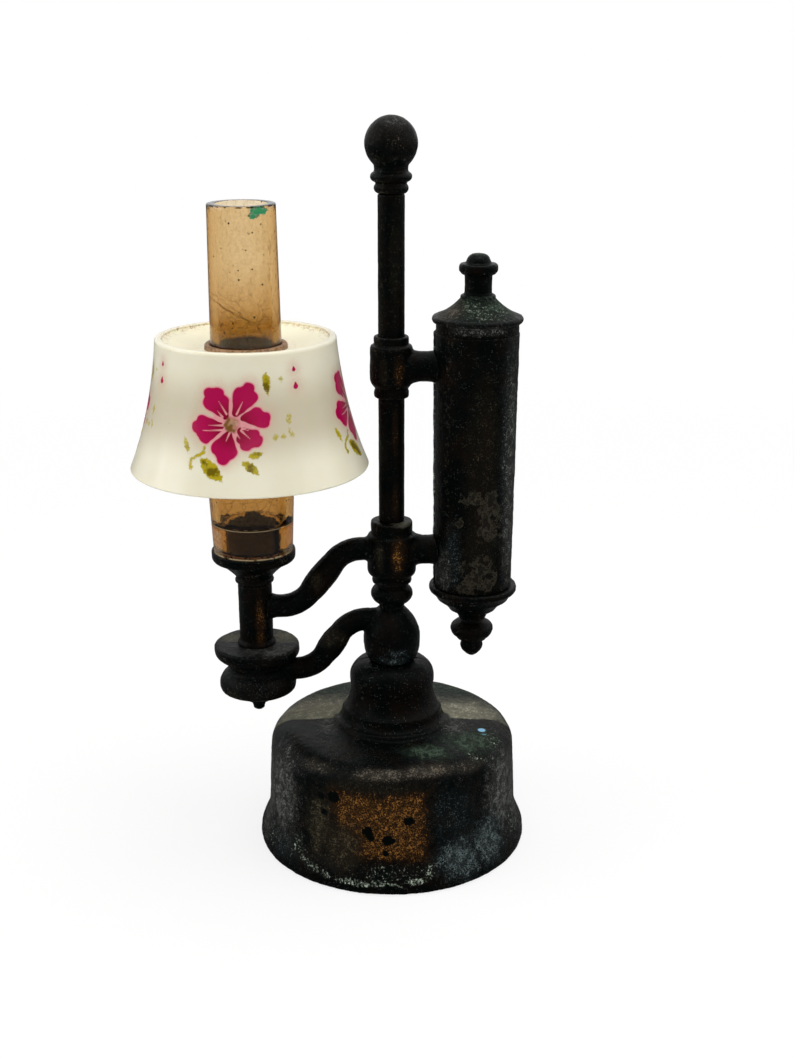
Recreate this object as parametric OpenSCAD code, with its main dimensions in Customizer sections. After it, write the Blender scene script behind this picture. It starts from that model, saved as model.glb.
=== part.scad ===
// Miniature oil lamp on a post: bell base, ball finial, oil tank on one side, burner with
// chimney and shade on the other. Millimetres, Z up. The origin is on the table, on the post's axis.
// The tank stands towards +X and the burner towards -X; the castings part on the plane Y = 0.

/* [Fits] */
// Clearance all round between a plug and its hole
fit = 0.05; // [0.02:0.01:0.1]

/* [Base] */
// Radius of the bell under its shoulder
base_r = 17.3; // [15:0.1:20]
// How much wider the bell is where the foot's flare starts
base_draft = 0.45; // [0.1:0.05:1]
// How far the foot stands out past the bell
foot_flare = 1.4; // [0.5:0.1:3]
// Height of the foot's straight edge
foot_edge_h = 0.6; // [0.3:0.1:1.5]
// Height of the foot's flare
foot_flare_h = 4.8; // [3:0.1:7]
// Height of the bell's top over the table
base_h = 17.5; // [15:0.1:22]
// Radius of the bell's rounded shoulder
shoulder_r = 3.3; // [2:0.1:5]
// How far the top rises from the shoulder to the collar
crown_rise = 0.3; // [0.1:0.05:1]
// Wall of the bell
base_wall = 1.2; // [0.8:0.1:1.8]

/* [Collar] */
// Radius of the bead at the collar's foot
bead_r = 8.2; // [7.6:0.1:9.5]
// Height of that bead
bead_h = 0.8; // [0.4:0.1:1.5]
// Radius of the ring half way up the collar's flare
flare_ring_r = 7; // [6.6:0.1:7.5]
// Height of that ring over the crown
flare_ring_h = 2.4; // [1.6:0.1:3.2]
// Height of the whole flare
flare_h = 5.3; // [4:0.1:7]
// Radius of the step at the top of the flare
step_r = 5.75; // [5.5:0.05:6]
// Radius of the cushion over the step
cushion_r = 5.95; // [5.8:0.05:6.5]
// Height of the cushion
cushion_h = 4; // [3:0.1:5]
// Radius of the cushion's flat top
cushion_top_r = 3.4; // [2.8:0.1:4]
// Thickness of the collar's roof
roof_t = 1.3; // [0.9:0.1:2]

/* [Post] */
// Radius of the post where it shows
rod_r = 1.73; // [1.4:0.01:2]
// Radius of the post's thinner ends
tail_r = 1.2; // [0.9:0.05:1.3]
// Length of post that shows between the two sleeves
rod_gap_low = 17; // [14:0.1:22]
// Length of post that shows over the upper sleeve
rod_gap_top = 17.8; // [14:0.1:24]
// Radius of the washer under the collar's roof
washer_r = 3.6; // [2.8:0.1:4.2]
// Thickness of that washer
washer_t = 0.5; // [0.3:0.1:1]
// Width of the nut across its corners
nut_w = 5.8; // [5:0.1:7]
// Height of the nut
nut_h = 1.7; // [1.2:0.1:2.5]
// Length of post past the nut
tail_past_nut = 0.5; // [0.2:0.1:1.5]

/* [Knob ring and sleeves] */
// Height of the knob ring between bulb and lower sleeve
knob_h = 3.7; // [2.8:0.1:4.5]
// Largest radius of the knob ring
knob_r = 2.9; // [2.4:0.05:3.2]
// Radius of the knob ring's neck
knob_neck_r = 1.75; // [1.6:0.05:2]
// Radius of the lower sleeve
low_sleeve_r = 3.34; // [2.9:0.02:3.6]
// Height of the lower sleeve's body
low_sleeve_h = 6.4; // [5:0.1:8]
// Radius of the ring under the lower sleeve
low_foot_r = 2.74; // [2.2:0.02:2.9]
// Height of the ring under the lower sleeve
low_foot_h = 0.7; // [0.6:0.1:1.6]
// Radius of the ring over the lower sleeve
low_cap_r = 2.84; // [2.3:0.02:2.9]
// Height of the ring over the lower sleeve
low_cap_h = 1.8; // [1:0.1:2.6]
// Radius of the upper sleeve
up_sleeve_r = 2.82; // [2.5:0.02:3]
// Height of the upper sleeve's body
up_sleeve_h = 5.9; // [4.8:0.1:8]
// Radius of the rings under and over the upper sleeve
up_ring_r = 2.3; // [2.1:0.02:2.4]
// Height of each of those rings
up_ring_h = 1.1; // [0.7:0.1:1.6]
// Radius of the stubs that carry the tank
stub_r = 2; // [1.6:0.05:2.4]
// How far a stub flares out at its two ends
stub_flare = 0.3; // [0.1:0.05:0.4]
// Radius of the stubs' tenons in the tank's wall
tenon_r = 0.9; // [0.6:0.05:1.2]

/* [Finial] */
// Radius of the ball
ball_r = 3.4; // [2.8:0.1:4.2]
// Radius of the finial's lower ring
finial_low_r = 2.26; // [2:0.02:2.6]
// Height of the finial's lower ring
finial_low_h = 1.45; // [1:0.05:2]
// Radius of the finial's upper ring
finial_up_r = 2.7; // [2.3:0.02:2.9]
// Height of the finial's upper ring
finial_up_h = 1.3; // [1:0.05:2]
// Radius of the ball's neck
ball_neck_r = 2.2; // [1.9:0.05:2.4]
// Height of the ball's neck over the rings
ball_neck_h = 0.75; // [0.3:0.05:1.5]

/* [Lower casting] */
// Largest radius of the bulb
bulb_r = 3.95; // [3.3:0.05:4.2]
// Radius of the bulb's foot
bulb_foot_r = 3.1; // [2.8:0.05:3.3]
// Height of the bulb
bulb_h = 7.7; // [6.5:0.1:9]
// Height on the bulb where the lower arm leaves it
arm_on_bulb = 5.9; // [5:0.1:6.4]
// How far the lower arm drops on its way to the drip pan
arm_drop = 7.5; // [5:0.1:9]
// Radius of both arms
arm_r = 1.6; // [1.3:0.02:1.8]
// How much thicker the arms are half way
arm_swell = 0.28; // [0.02:0.02:0.4]
// How far the arms flare out where they meet a sleeve or column
arm_flare = 0.5; // [0.1:0.05:0.6]
// Radius of the arms' bends
arm_bend_r = 4.9; // [3.6:0.1:5.5]
// Radius of the drip pan
pan_r = 5.95; // [5.2:0.05:6.6]
// Thickness of the drip pan's rim
pan_rim_h = 1.4; // [0.9:0.1:1.6]
// Height of the drip pan's top over the arm
pan_over_arm = 3.9; // [3.4:0.1:4.6]
// Radius of the neck under the drip pan
pan_neck_r = 4; // [3.2:0.05:4.2]
// Radius of the bowl under that neck
bowl_r = 5.4; // [4.8:0.05:6]
// Height of the bowl
bowl_h = 4.3; // [3.6:0.1:6]
// Radius of the locating pins between the two halves
pin_r = 0.45; // [0.3:0.05:0.6]
// Length of those pins
pin_l = 1.4; // [0.8:0.1:2]

/* [Burner] */
// Radius of the column
column_r = 2.33; // [2:0.05:2.6]
// Height of the column
column_h = 8.9; // [7.6:0.1:12]
// Height on the column where the upper arm meets it
arm_on_column = 5.5; // [4:0.1:5.8]
// Radius of the column's core inside pan and cup
core_r = 1.2; // [0.9:0.05:1.4]
// Radius of the screw end in the nut under the pan
screw_r = 0.6; // [0.4:0.05:0.8]
// Radius of the flat nut under the pan
pan_nut_r = 1.75; // [1.4:0.05:2.4]
// Height of that nut
pan_nut_h = 1.9; // [1.2:0.1:2.6]
// Radius of the ring at the cup's foot
cup_ring_r = 2.7; // [2.6:0.05:3.3]
// Depth of the cup's recess
cup_depth = 1.15; // [0.8:0.05:1.6]
// Height of the cup from the column to its recess
cup_body_h = 3.9; // [3.4:0.1:6]
// Thickness of the cup's floor where it meets the rim
cup_floor_t = 0.4; // [0.3:0.05:0.8]
// Wall of the cup's rim
cup_lip = 0.32; // [0.25:0.01:0.6]
// Radius of the peg in the chimney
peg_r = 3.68; // [3.2:0.02:3.8]
// Height of the peg
peg_h = 5; // [4:0.1:7]
// Radius of the dome on the peg
dome_r = 2.6; // [2:0.1:3]
// Height of the dome
dome_h = 1.8; // [1.2:0.1:2.6]

/* [Chimney] */
// Radius of the chimney's foot
chimney_foot_r = 5.35; // [5.1:0.05:5.6]
// Radius of the chimney's shoulder
chimney_shoulder_r = 6.5; // [6.2:0.05:6.9]
// Height of the chimney's wide part
chimney_body_h = 27.7; // [24:0.1:32]
// Radius of the narrow part at the shoulder
chimney_neck_r = 4.66; // [4.3:0.02:4.7]
// Radius of the narrow part at the top
chimney_top_r = 4.38; // [4.1:0.02:4.6]
// Height of the narrow part
chimney_neck_h = 19.3; // [15:0.1:24]
// Wall of the chimney
chimney_wall = 1.08; // [0.8:0.02:1.2]
// Height of the thick socket that grips the peg
socket_h = 5.1; // [4:0.1:7]

/* [Shade] */
// Radius of the shade's top rim
shade_top_r = 11.75; // [10.5:0.05:13]
// Radius of the shade's bottom rim
shade_foot_r = 15.95; // [14:0.05:16]
// Radius of the shade's waist control point
shade_waist_r = 12.6; // [11.8:0.1:13.6]
// Gap between the shade's foot and the upper sleeve when the shade is lifted past it
shade_gap = 0.13; // [0.1:0.01:3]
// Height of the shade
shade_h = 17.4; // [14:0.1:19]
// Wall of the shade
shade_wall = 0.9; // [0.7:0.05:1.3]
// Thickness of the shade's web
web_t = 0.6; // [0.5:0.05:1.3]
// Height of the top rim above the ring's lip seat
web_drop = 1.55; // [1:0.05:2]
// How much the web rises from the ring to the rim
web_rise = 1.1; // [0:0.05:1.3]
// Radius of the ring's body in the web
ring_r = 5.1; // [4.98:0.02:5.2]
// Radius of the ring's lip over the web
ring_lip_r = 5.42; // [5.3:0.02:5.8]
// Height of the ring's lip
ring_lip_h = 0.6; // [0.3:0.05:0.8]
// Radius of the ring's flange under the web
ring_flange_r = 6.1; // [5.6:0.1:6.4]
// Thickness of the flange
ring_flange_h = 0.4; // [0.3:0.05:1]

/* [Tank] */
// Distance from the post to the tank's axis
tank_reach = 11.15; // [10.6:0.05:14]
// Radius of the tank at its top
tank_top_r = 5.5; // [5:0.05:6]
// Radius of the tank at its bottom
tank_foot_r = 5.25; // [4.9:0.05:5.4]
// Height of the tank's tube
tank_h = 34.65; // [32:0.05:40]
// How far the tube reaches below the lower stub's axis
tank_below_stub = 4.9; // [3.6:0.1:6]
// Wall of the tube
tank_wall = 0.85; // [0.7:0.05:1]
// Radius of the bottom cap's lip
cap_r = 6; // [5.6:0.01:6.2]
// Height of the bottom cap
cap_h = 5; // [4.2:0.1:6]
// Radius of the cap's lowest step
cap_nose_r = 1.85; // [1.6:0.05:2.2]
// Depth of the plugs of cap and lid in the tube
plug_h = 1.5; // [1:0.1:2.5]
// Largest radius of the drip finial
drip_r = 2.96; // [2.4:0.02:3.2]
// Height of the drip finial
drip_h = 5.7; // [4.8:0.1:7]
// Radius of the lid's seat ring
seat_r = 5.1; // [4.8:0.05:5.2]
// Height of the lid's seat ring
seat_h = 1.25; // [0.8:0.05:1.6]
// Radius of the lid's rolled rim
lid_r = 5.95; // [5.6:0.05:6.4]
// Thickness of the rolled rim
lid_rim_h = 0.9; // [0.6:0.05:1.2]
// Height of the lid's cone over the rim
lid_cone_h = 2.1; // [1.5:0.1:3]
// Radius of the lid's neck bead
lid_bead_r = 2.3; // [2.1:0.05:2.6]
// Radius of the knob's stem
stem_r = 1.77; // [1.5:0.02:2]
// Height of the knob's stem
stem_h = 2.6; // [2:0.1:4]
// Radius of the knob's flange
knob_flange_r = 2.52; // [2.2:0.02:3]
// Height of the knob's flange
knob_flange_h = 1.35; // [0.9:0.05:2]
// Height of the knob's dome
knob_dome_h = 1.2; // [0.8:0.05:2]

/* [Hidden] */
$fn = 96;

bronze = [0.11, 0.12, 0.12];
dusty = [0.30, 0.27, 0.22];
worn = [0.35, 0.22, 0.12];
amber = [0.66, 0.48, 0.24, 0.75];
brown = [0.36, 0.26, 0.18];
milk = [0.95, 0.93, 0.88];

// Heights up the post
crown_z = base_h + crown_rise;
step_z = crown_z + flare_h;
collar_top = step_z + cushion_h;
roof_z = collar_top - roof_t;
bulb_top = collar_top + bulb_h;
low_sleeve_z = bulb_top + knob_h;
low_sleeve_top = low_sleeve_z + low_foot_h + low_sleeve_h + low_cap_h;
up_sleeve_z = low_sleeve_top + rod_gap_low;
up_sleeve_top = up_sleeve_z + 2 * up_ring_h + up_sleeve_h;
finial_z = up_sleeve_top + rod_gap_top;
ball_z = finial_z + finial_low_h + finial_up_h + ball_neck_h
    + sqrt(pow(ball_r, 2) - pow(ball_neck_r, 2));
rod_end = ball_z - ball_r / 4;
nut_z = roof_z - washer_t - nut_h;

// Heights of the two stubs, and of the tank that they carry
low_stub_z = low_sleeve_z + low_foot_h + low_sleeve_h / 2 + 0.8;
up_stub_z = up_sleeve_z + up_ring_h + up_sleeve_h / 2;
tank_z = low_stub_z - tank_below_stub;
tank_top = tank_z + tank_h;
lid_z = tank_top + seat_h;
cone_z = lid_z + lid_rim_h;
lid_top = cone_z + lid_cone_h + 0.6;
cap_z = tank_z - cap_h;
bore_r = tank_foot_r - tank_wall;

// Heights of the burner
arm_bulb_z = collar_top + arm_on_bulb;
arm_pan_z = arm_bulb_z - arm_drop;
pan_z = arm_pan_z + pan_over_arm;
bowl_z = arm_pan_z - bowl_h;
column_top = pan_z + column_h;
arm_column_z = pan_z + arm_on_column;
arm_sleeve_z = low_sleeve_z + low_foot_h + low_sleeve_h / 2 + 0.9;
cup_z = column_top;
peg_z = cup_z + cup_body_h;
rim_z = peg_z + cup_depth;
seat_z = peg_z + chimney_body_h;
web_z = seat_z + ring_flange_h;
ring_top = web_z + web_t + fit;
shade_top = ring_top + web_drop;
shade_z = shade_top - shade_h;

burner_x = -(shade_foot_r + shade_gap + up_sleeve_r);
pan_root = 5.4;      // where the lower arm's bend starts, from the burner's axis
column_root = 3.6;   // where the upper arm's bend starts, from the burner's axis
bulb_root = 3.2;     // where the lower arm's bend ends, from the post
sleeve_root = 4;     // where the upper arm's bend ends, from the post
big = 200;

// A curve with one control point, as n straight pieces
function curve(a, b, c, n = 8) =
    [for (i = [0:n]) let (t = i / n) pow(1 - t, 2) * a + 2 * t * (1 - t) * b + pow(t, 2) * c];

// A rounded edge of radius r about the point c, from angle a0 to a1
function arc(c, r, a0, a1, n = 6) =
    [for (i = [0:n]) let (a = a0 + (a1 - a0) * i / n) c + r * [cos(a), sin(a)]];

// A ring's section: width r, height h from z, with rounded outer edges
function bead(r, z, h) = arc([r - h / 2, z + h / 2], h / 2, -90, 90, 8);

module lathe(points) {
    rotate_extrude() polygon(points);
}

module tube(r, z0, z1) {
    translate([0, 0, z0]) cylinder(r = r, h = z1 - z0);
}

module at_burner() {
    translate([burner_x, 0, 0]) children();
}

module at_tank() {
    translate([tank_reach, 0, 0]) children();
}

module front_half() {
    intersection() {
        children();
        translate([-big / 2, -big, -big / 2]) cube([big, big, 2 * big]);
    }
}

module rear_half() {
    intersection() {
        children();
        translate([-big / 2, 0, -big / 2]) cube([big, big, 2 * big]);
    }
}

// Base

function foot_flare_curve(inset) =
    [for (i = [0:8]) [
        base_r + base_draft - inset + foot_flare * (1 + cos(180 * i / 8)) / 2,
        foot_edge_h + foot_flare_h * i / 8
    ]];

function shoulder(inset) =
    arc([base_r - shoulder_r, base_h - shoulder_r], shoulder_r - inset, 0, 90, 8);

function base_section() = concat(
    [[0, 0], [base_r + base_draft + foot_flare - 0.2, 0]],
    foot_flare_curve(0),
    shoulder(0),
    [[bead_r, crown_z]],
    arc([bead_r - bead_h / 2, crown_z + bead_h / 2], bead_h / 2, 0, 90, 4),
    curve([flare_ring_r + 0.5, crown_z + bead_h], [flare_ring_r + 0.1, crown_z + 1.2],
        [flare_ring_r, crown_z + flare_ring_h], 4),
    curve([flare_ring_r - 0.2, crown_z + flare_ring_h], [step_r + 0.1, crown_z + flare_ring_h + 0.9],
        [step_r, step_z], 6),
    curve([cushion_r - 0.1, step_z + 0.1], [cushion_r + 0.05, step_z + 0.9],
        [cushion_r, step_z + cushion_h * 0.37], 4),
    [for (a = [15:15:90]) [
        cushion_top_r + (cushion_r - cushion_top_r) * cos(a),
        step_z + cushion_h * (0.37 + 0.63 * sin(a))
    ]],
    [[0, collar_top]]
);

function base_hollow() = concat(
    [[0, -1], [base_r + base_draft + foot_flare - base_wall, -1]],
    foot_flare_curve(base_wall),
    shoulder(base_wall),
    [
        [bead_r - base_wall, crown_z - base_wall],
        [step_r - base_wall, crown_z + flare_ring_h],
        [step_r - base_wall, roof_z],
        [0, roof_z]
    ]
);

boss_r = 1.4;
boss_x = base_r - shoulder_r - boss_r;
boss_z = base_h - base_wall - 0.9;
foot_boss_x = base_r - base_wall - 0.9;
foot_boss_z = foot_edge_h + foot_flare_h;

// The bosses inside the bell that take the locating pins: near the shoulder and near the foot
module boss_row(r, length) {
    for (side = [-1, 1]) {
        translate([side * boss_x, length / 2, boss_z])
            rotate([90, 0, 0]) cylinder(r = r, h = length);
        translate([side * foot_boss_x, length / 2, foot_boss_z])
            rotate([90, 0, 0]) cylinder(r = r, h = length);
    }
}

module bell() {
    difference() {
        union() {
            difference() {
                lathe(base_section());
                lathe(base_hollow());
            }
            intersection() {
                boss_row(boss_r, 2 * pin_l + 1.6);
                lathe(base_section());
            }
        }
        tube(tail_r + fit, roof_z - 1, collar_top + 1);
    }
}

module base_front_shell() {
    color(bronze) {
        front_half() bell();
        intersection() {
            boss_row(pin_r, 2 * pin_l);
            translate([-big / 2, -0.5, 0]) cube([big, big, big]);
        }
    }
}

module base_rear_shell() {
    color(dusty) difference() {
        rear_half() bell();
        boss_row(pin_r + fit, 2 * (pin_l + fit));
    }
}

// Post and what holds it in the base

module post_rod() {
    color(worn) union() {
        tube(tail_r, nut_z - tail_past_nut, low_sleeve_top);
        tube(rod_r, low_sleeve_top, finial_z);
        tube(tail_r, finial_z, rod_end);
    }
}

module post_washer() {
    color("gray") difference() {
        tube(washer_r, roof_z - washer_t, roof_z);
        tube(tail_r + fit, roof_z - washer_t - 1, roof_z + 1);
    }
}

module post_nut() {
    color("gray") difference() {
        translate([0, 0, nut_z]) cylinder(d = nut_w, h = nut_h, $fn = 6);
        tube(tail_r + fit, nut_z - 1, nut_z + nut_h + 1);
    }
}

module ball_finial() {
    neck_z = finial_z + finial_low_h + finial_up_h;
    color(bronze) difference() {
        union() {
            lathe(concat([[0, finial_z]], bead(finial_low_r, finial_z, finial_low_h),
                [[0, finial_z + finial_low_h]]));
            lathe(concat([[0, finial_z + finial_low_h]],
                bead(finial_up_r, finial_z + finial_low_h, finial_up_h), [[0, neck_z]]));
            tube(ball_neck_r, neck_z - 0.5, neck_z + ball_neck_h + 0.4);
            translate([0, 0, ball_z]) sphere(r = ball_r);
        }
        tube(tail_r + fit, finial_z - 1, rod_end + fit);
    }
}

// Arms

// A level end of an arm, from its bend at 0 to its joint at length, flared at the joint
module arm_lead(length, flare) {
    lathe(concat(
        [[0, -0.3], [arm_r - 0.03, -0.3], [arm_r - 0.03, 0.1]],
        curve([arm_r - 0.03, 0.1], [arm_r, length * 0.6], [arm_r + flare, length], 4),
        [[0, length]]
    ));
}

// An S-bend in the plane Y = 0: level at both ends, from [x0, z0] up to [x1, z1].
// The straights are a hair slimmer than the bends and end inside them
module s_arm(x0, z0, x1, z1, lead0, lead1, flare0, flare1) {
    dx = x1 - x0;
    dz = z1 - z0;
    bend = min(arm_bend_r, 0.24 * (dx * dx + dz * dz) / dz);
    straight = sqrt(dx * dx + dz * dz - 4 * bend * dz);
    turn = 2 * atan2(dz, dx + straight);
    translate([x0, 0, z0]) rotate([0, -90, 0]) arm_lead(lead0, flare0);
    translate([x1, 0, z1]) rotate([0, 90, 0]) arm_lead(lead1, flare1);
    translate([x0, 0, z0 + bend]) rotate([90, 0, 0]) rotate([0, 0, -90])
        rotate_extrude(angle = turn) translate([bend, 0]) circle(r = arm_r);
    translate([x1, 0, z1 - bend]) rotate([90, 0, 0]) rotate([0, 0, 90])
        rotate_extrude(angle = turn) translate([bend, 0]) circle(r = arm_r);
    translate([x0 + bend * sin(turn), 0, z0 + bend * (1 - cos(turn))])
        rotate([0, 90 - turn, 0]) lathe(concat(
            [[0, -0.3]],
            curve([arm_r - 0.03, -0.3], [arm_r - 0.03 + 2 * arm_swell, straight / 2],
                [arm_r - 0.03, straight + 0.3], 8),
            [[0, straight + 0.3]]
        ));
}

function bulb_section() = concat(
    [[0, collar_top]],
    curve([bulb_foot_r, collar_top], [bulb_r + 0.05, collar_top + bulb_h * 0.12],
        [bulb_r, collar_top + bulb_h * 0.44], 5),
    curve([bulb_r, collar_top + bulb_h * 0.46], [bulb_r, collar_top + bulb_h * 0.73],
        [knob_neck_r + 0.1, bulb_top], 7),
    [[0, bulb_top]]
);

function pan_section() = concat(
    [[0, bowl_z], [pan_nut_r + 0.1, bowl_z]],
    curve([bowl_r - 0.45, bowl_z + bowl_h * 0.3], [bowl_r, bowl_z + bowl_h * 0.36],
        [bowl_r, bowl_z + bowl_h * 0.52], 5),
    curve([bowl_r, bowl_z + bowl_h * 0.54], [bowl_r, bowl_z + bowl_h * 0.84],
        [pan_neck_r + 0.15, arm_pan_z], 6),
    [
        [pan_neck_r, arm_pan_z + 0.4], [pan_neck_r, arm_pan_z + 0.7],
        [pan_neck_r + 0.35, arm_pan_z + 0.95], [pan_neck_r + 0.4, arm_pan_z + 1.6]
    ],
    curve([pan_r - 0.6, pan_z - pan_rim_h - 0.5], [pan_r - 0.05, pan_z - pan_rim_h - 0.2],
        [pan_r, pan_z - pan_rim_h + 0.3], 4),
    arc([pan_r - 0.35, pan_z - 0.35], 0.35, 0, 80, 3),
    [[0, pan_z]]
);

// The small pins that locate the two halves of the lower casting, in bulb and pan
module casting_pins(r, length) {
    for (spot = [
        [burner_x - pan_neck_r + 0.9, arm_pan_z - bowl_h / 2],
        [burner_x + pan_neck_r - 0.9, arm_pan_z - bowl_h / 2],
        [bulb_r - 1.2, collar_top + bulb_h * 0.4]
    ])
        translate([spot[0], length / 2, spot[1]]) rotate([90, 0, 0]) cylinder(r = r, h = length, $fn = 32);
}

module lower_casting() {
    difference() {
        union() {
            lathe(bulb_section());
            at_burner() lathe(pan_section());
            s_arm(burner_x + pan_root, arm_pan_z, -bulb_root, arm_bulb_z, 3, 1.6, arm_flare / 2, 0);
        }
        tube(tail_r + fit, collar_top - 1, bulb_top + 1);
        at_burner() tube(core_r + fit, bowl_z - 1, pan_z + 1);
    }
}

module lower_arm_front() {
    color(bronze) {
        front_half() lower_casting();
        intersection() {
            casting_pins(pin_r, 2 * pin_l);
            translate([-big / 2, -0.3, 0]) cube([big, big, big]);
        }
    }
}

module lower_arm_rear() {
    color(dusty) difference() {
        rear_half() lower_casting();
        casting_pins(pin_r + fit, 2 * (pin_l + fit));
    }
}

module knob_ring() {
    color(bronze) difference() {
        lathe(concat(
            [[0, bulb_top], [knob_neck_r, bulb_top], [knob_neck_r, bulb_top + knob_h * 0.14]],
            curve([knob_neck_r + 0.1, bulb_top + knob_h * 0.18], [knob_r - 0.3, bulb_top + knob_h * 0.27],
                [knob_r, bulb_top + knob_h * 0.5], 4),
            curve([knob_r, bulb_top + knob_h * 0.62], [knob_r - 0.2, bulb_top + knob_h * 0.8],
                [knob_neck_r + 0.4, bulb_top + knob_h * 0.88], 4),
            [[knob_neck_r + 0.4, bulb_top + knob_h], [0, bulb_top + knob_h]]
        ));
        tube(tail_r + fit, bulb_top - 1, low_sleeve_z + 1);
    }
}

// A sleeve's outline: a ring, a body with bevelled ends and another ring
function sleeve_section(z, body_r, body_h, foot_r, foot_h, cap_r, cap_h) = concat(
    [[0, z]],
    arc([foot_r - 0.25, z + 0.25], 0.25, -90, 0, 3),
    [
        [foot_r, z + foot_h - 0.2], [foot_r - 0.2, z + foot_h],
        [body_r - 0.12, z + foot_h + 0.75], [body_r, z + foot_h + 1.2],
        [body_r, z + foot_h + body_h - 0.5], [body_r - 0.15, z + foot_h + body_h - 0.15],
        [cap_r - 0.15, z + foot_h + body_h], [cap_r, z + foot_h + body_h + 0.2]
    ],
    arc([cap_r - 0.25, z + foot_h + body_h + cap_h - 0.25], 0.25, 0, 90, 3),
    [[0, z + foot_h + body_h + cap_h]]
);

// A stub from a sleeve to the tank's wall, flared at both ends, with its tenon
module stub(z, from_r, wall_x) {
    waist = (from_r + wall_x) / 2;
    translate([0, 0, z]) rotate([0, 90, 0]) rotate_extrude() polygon(concat(
        [[0, 0], [stub_r + stub_flare, 0], [stub_r + stub_flare, from_r - 0.3]],
        curve([stub_r + stub_flare, from_r - 0.3], [stub_r - 0.1, waist - 0.6], [stub_r, waist], 4),
        curve([stub_r, waist], [stub_r - 0.1, waist + 0.7], [stub_r + stub_flare, wall_x + 0.6], 4),
        [[0, wall_x + 0.6]]
    ));
    translate([wall_x, 0, z]) rotate([0, 90, 0]) cylinder(r = tenon_r, h = tank_wall + 0.8);
}

// The tank's own outer surface, which the stubs are cut to
module tank_outer() {
    at_tank() translate([0, 0, tank_z]) cylinder(r1 = tank_foot_r, r2 = tank_top_r, h = tank_h);
}

function tank_r_at(z) = tank_foot_r + (tank_top_r - tank_foot_r) * (z - tank_z) / tank_h;

module tank_tenon(z, r) {
    translate([tank_reach - tank_r_at(z) - 1, 0, z]) rotate([0, 90, 0])
        cylinder(r = r, h = tank_wall + 1.6);
}

module lower_sleeve() {
    wall_x = tank_reach - tank_r_at(low_stub_z);
    color(bronze) difference() {
        union() {
            lathe(sleeve_section(low_sleeve_z, low_sleeve_r, low_sleeve_h,
                low_foot_r, low_foot_h, low_cap_r, low_cap_h));
            difference() {
                stub(low_stub_z, low_sleeve_r, wall_x);
                difference() {
                    tank_outer();
                    tank_tenon(low_stub_z, tenon_r);
                }
            }
            s_arm(burner_x + column_root, arm_column_z, -sleeve_root, arm_sleeve_z,
                column_root - column_r + 0.6, sleeve_root - low_sleeve_r + 0.5, arm_flare, arm_flare);
        }
        tube(tail_r + fit, low_sleeve_z - 1, low_sleeve_top + 1);
        at_burner() tube(column_r, pan_z, column_top);
    }
}

module upper_sleeve() {
    wall_x = tank_reach - tank_r_at(up_stub_z);
    color(bronze) difference() {
        union() {
            lathe(sleeve_section(up_sleeve_z, up_sleeve_r, up_sleeve_h,
                up_ring_r, up_ring_h, up_ring_r, up_ring_h));
            difference() {
                stub(up_stub_z, up_sleeve_r, wall_x);
                difference() {
                    tank_outer();
                    tank_tenon(up_stub_z, tenon_r);
                }
            }
        }
        tube(rod_r + fit, up_sleeve_z - 1, up_sleeve_top + 1);
    }
}

// Tank

module tank_tube() {
    difference() {
        tank_outer();
        at_tank() tube(bore_r, tank_z - 1, tank_top + 1);
        tank_tenon(low_stub_z, tenon_r + fit);
        tank_tenon(up_stub_z, tenon_r + fit);
    }
}

module tank_front_shell() {
    color(bronze) front_half() tank_tube();
}

module tank_rear_shell() {
    color(dusty) rear_half() tank_tube();
}

module tank_bottom_cap() {
    color(bronze) at_tank() difference() {
        lathe(concat(
            [[0, cap_z], [cap_nose_r, cap_z]],
            curve([cap_nose_r + 0.1, cap_z + 0.35], [cap_nose_r + 0.3, cap_z + cap_h * 0.2],
                [cap_r * 0.53, cap_z + cap_h * 0.27], 3),
            curve([cap_r * 0.56, cap_z + cap_h * 0.33], [cap_r * 0.66, cap_z + cap_h * 0.5],
                [cap_r * 0.81, cap_z + cap_h * 0.58], 3),
            curve([cap_r * 0.84, cap_z + cap_h * 0.65], [cap_r * 0.9, cap_z + cap_h * 0.77],
                [cap_r * 0.97, cap_z + cap_h * 0.81], 3),
            [
                [cap_r, cap_z + cap_h * 0.85], [cap_r, tank_z - 0.2],
                [cap_r - 0.2, tank_z], [bore_r - fit, tank_z],
                [bore_r - fit, tank_z + plug_h - 0.3], [bore_r - fit - 0.3, tank_z + plug_h],
                [0, tank_z + plug_h]
            ]
        ));
        tube(tenon_r + fit, cap_z - 1, cap_z + 2.2 + fit);
    }
}

module tank_drip_finial() {
    color(bronze) at_tank() union() {
        tube(tenon_r, cap_z - 0.5, cap_z + 2.2);
        lathe(concat(
            [[0, cap_z - drip_h]],
            curve([0.35, cap_z - drip_h], [1.55, cap_z - drip_h + 0.7], [1.6, cap_z - drip_h + 1.6], 4),
            [
                [1.45, cap_z - drip_h + 2.1], [1.45, cap_z - drip_h + 2.4],
                [2, cap_z - drip_h + 2.55], [2.15, cap_z - drip_h + 2.8]
            ],
            curve([2.2, cap_z - drip_h + 2.9], [drip_r - 0.15, cap_z - drip_h + 3.2],
                [drip_r, cap_z - drip_h + 4], 3),
            curve([drip_r, cap_z - drip_h + 4.3], [drip_r - 0.15, cap_z - drip_h + 4.9],
                [1.7, cap_z - 0.4], 4),
            [[1.55, cap_z], [0, cap_z]]
        ));
    }
}

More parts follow.
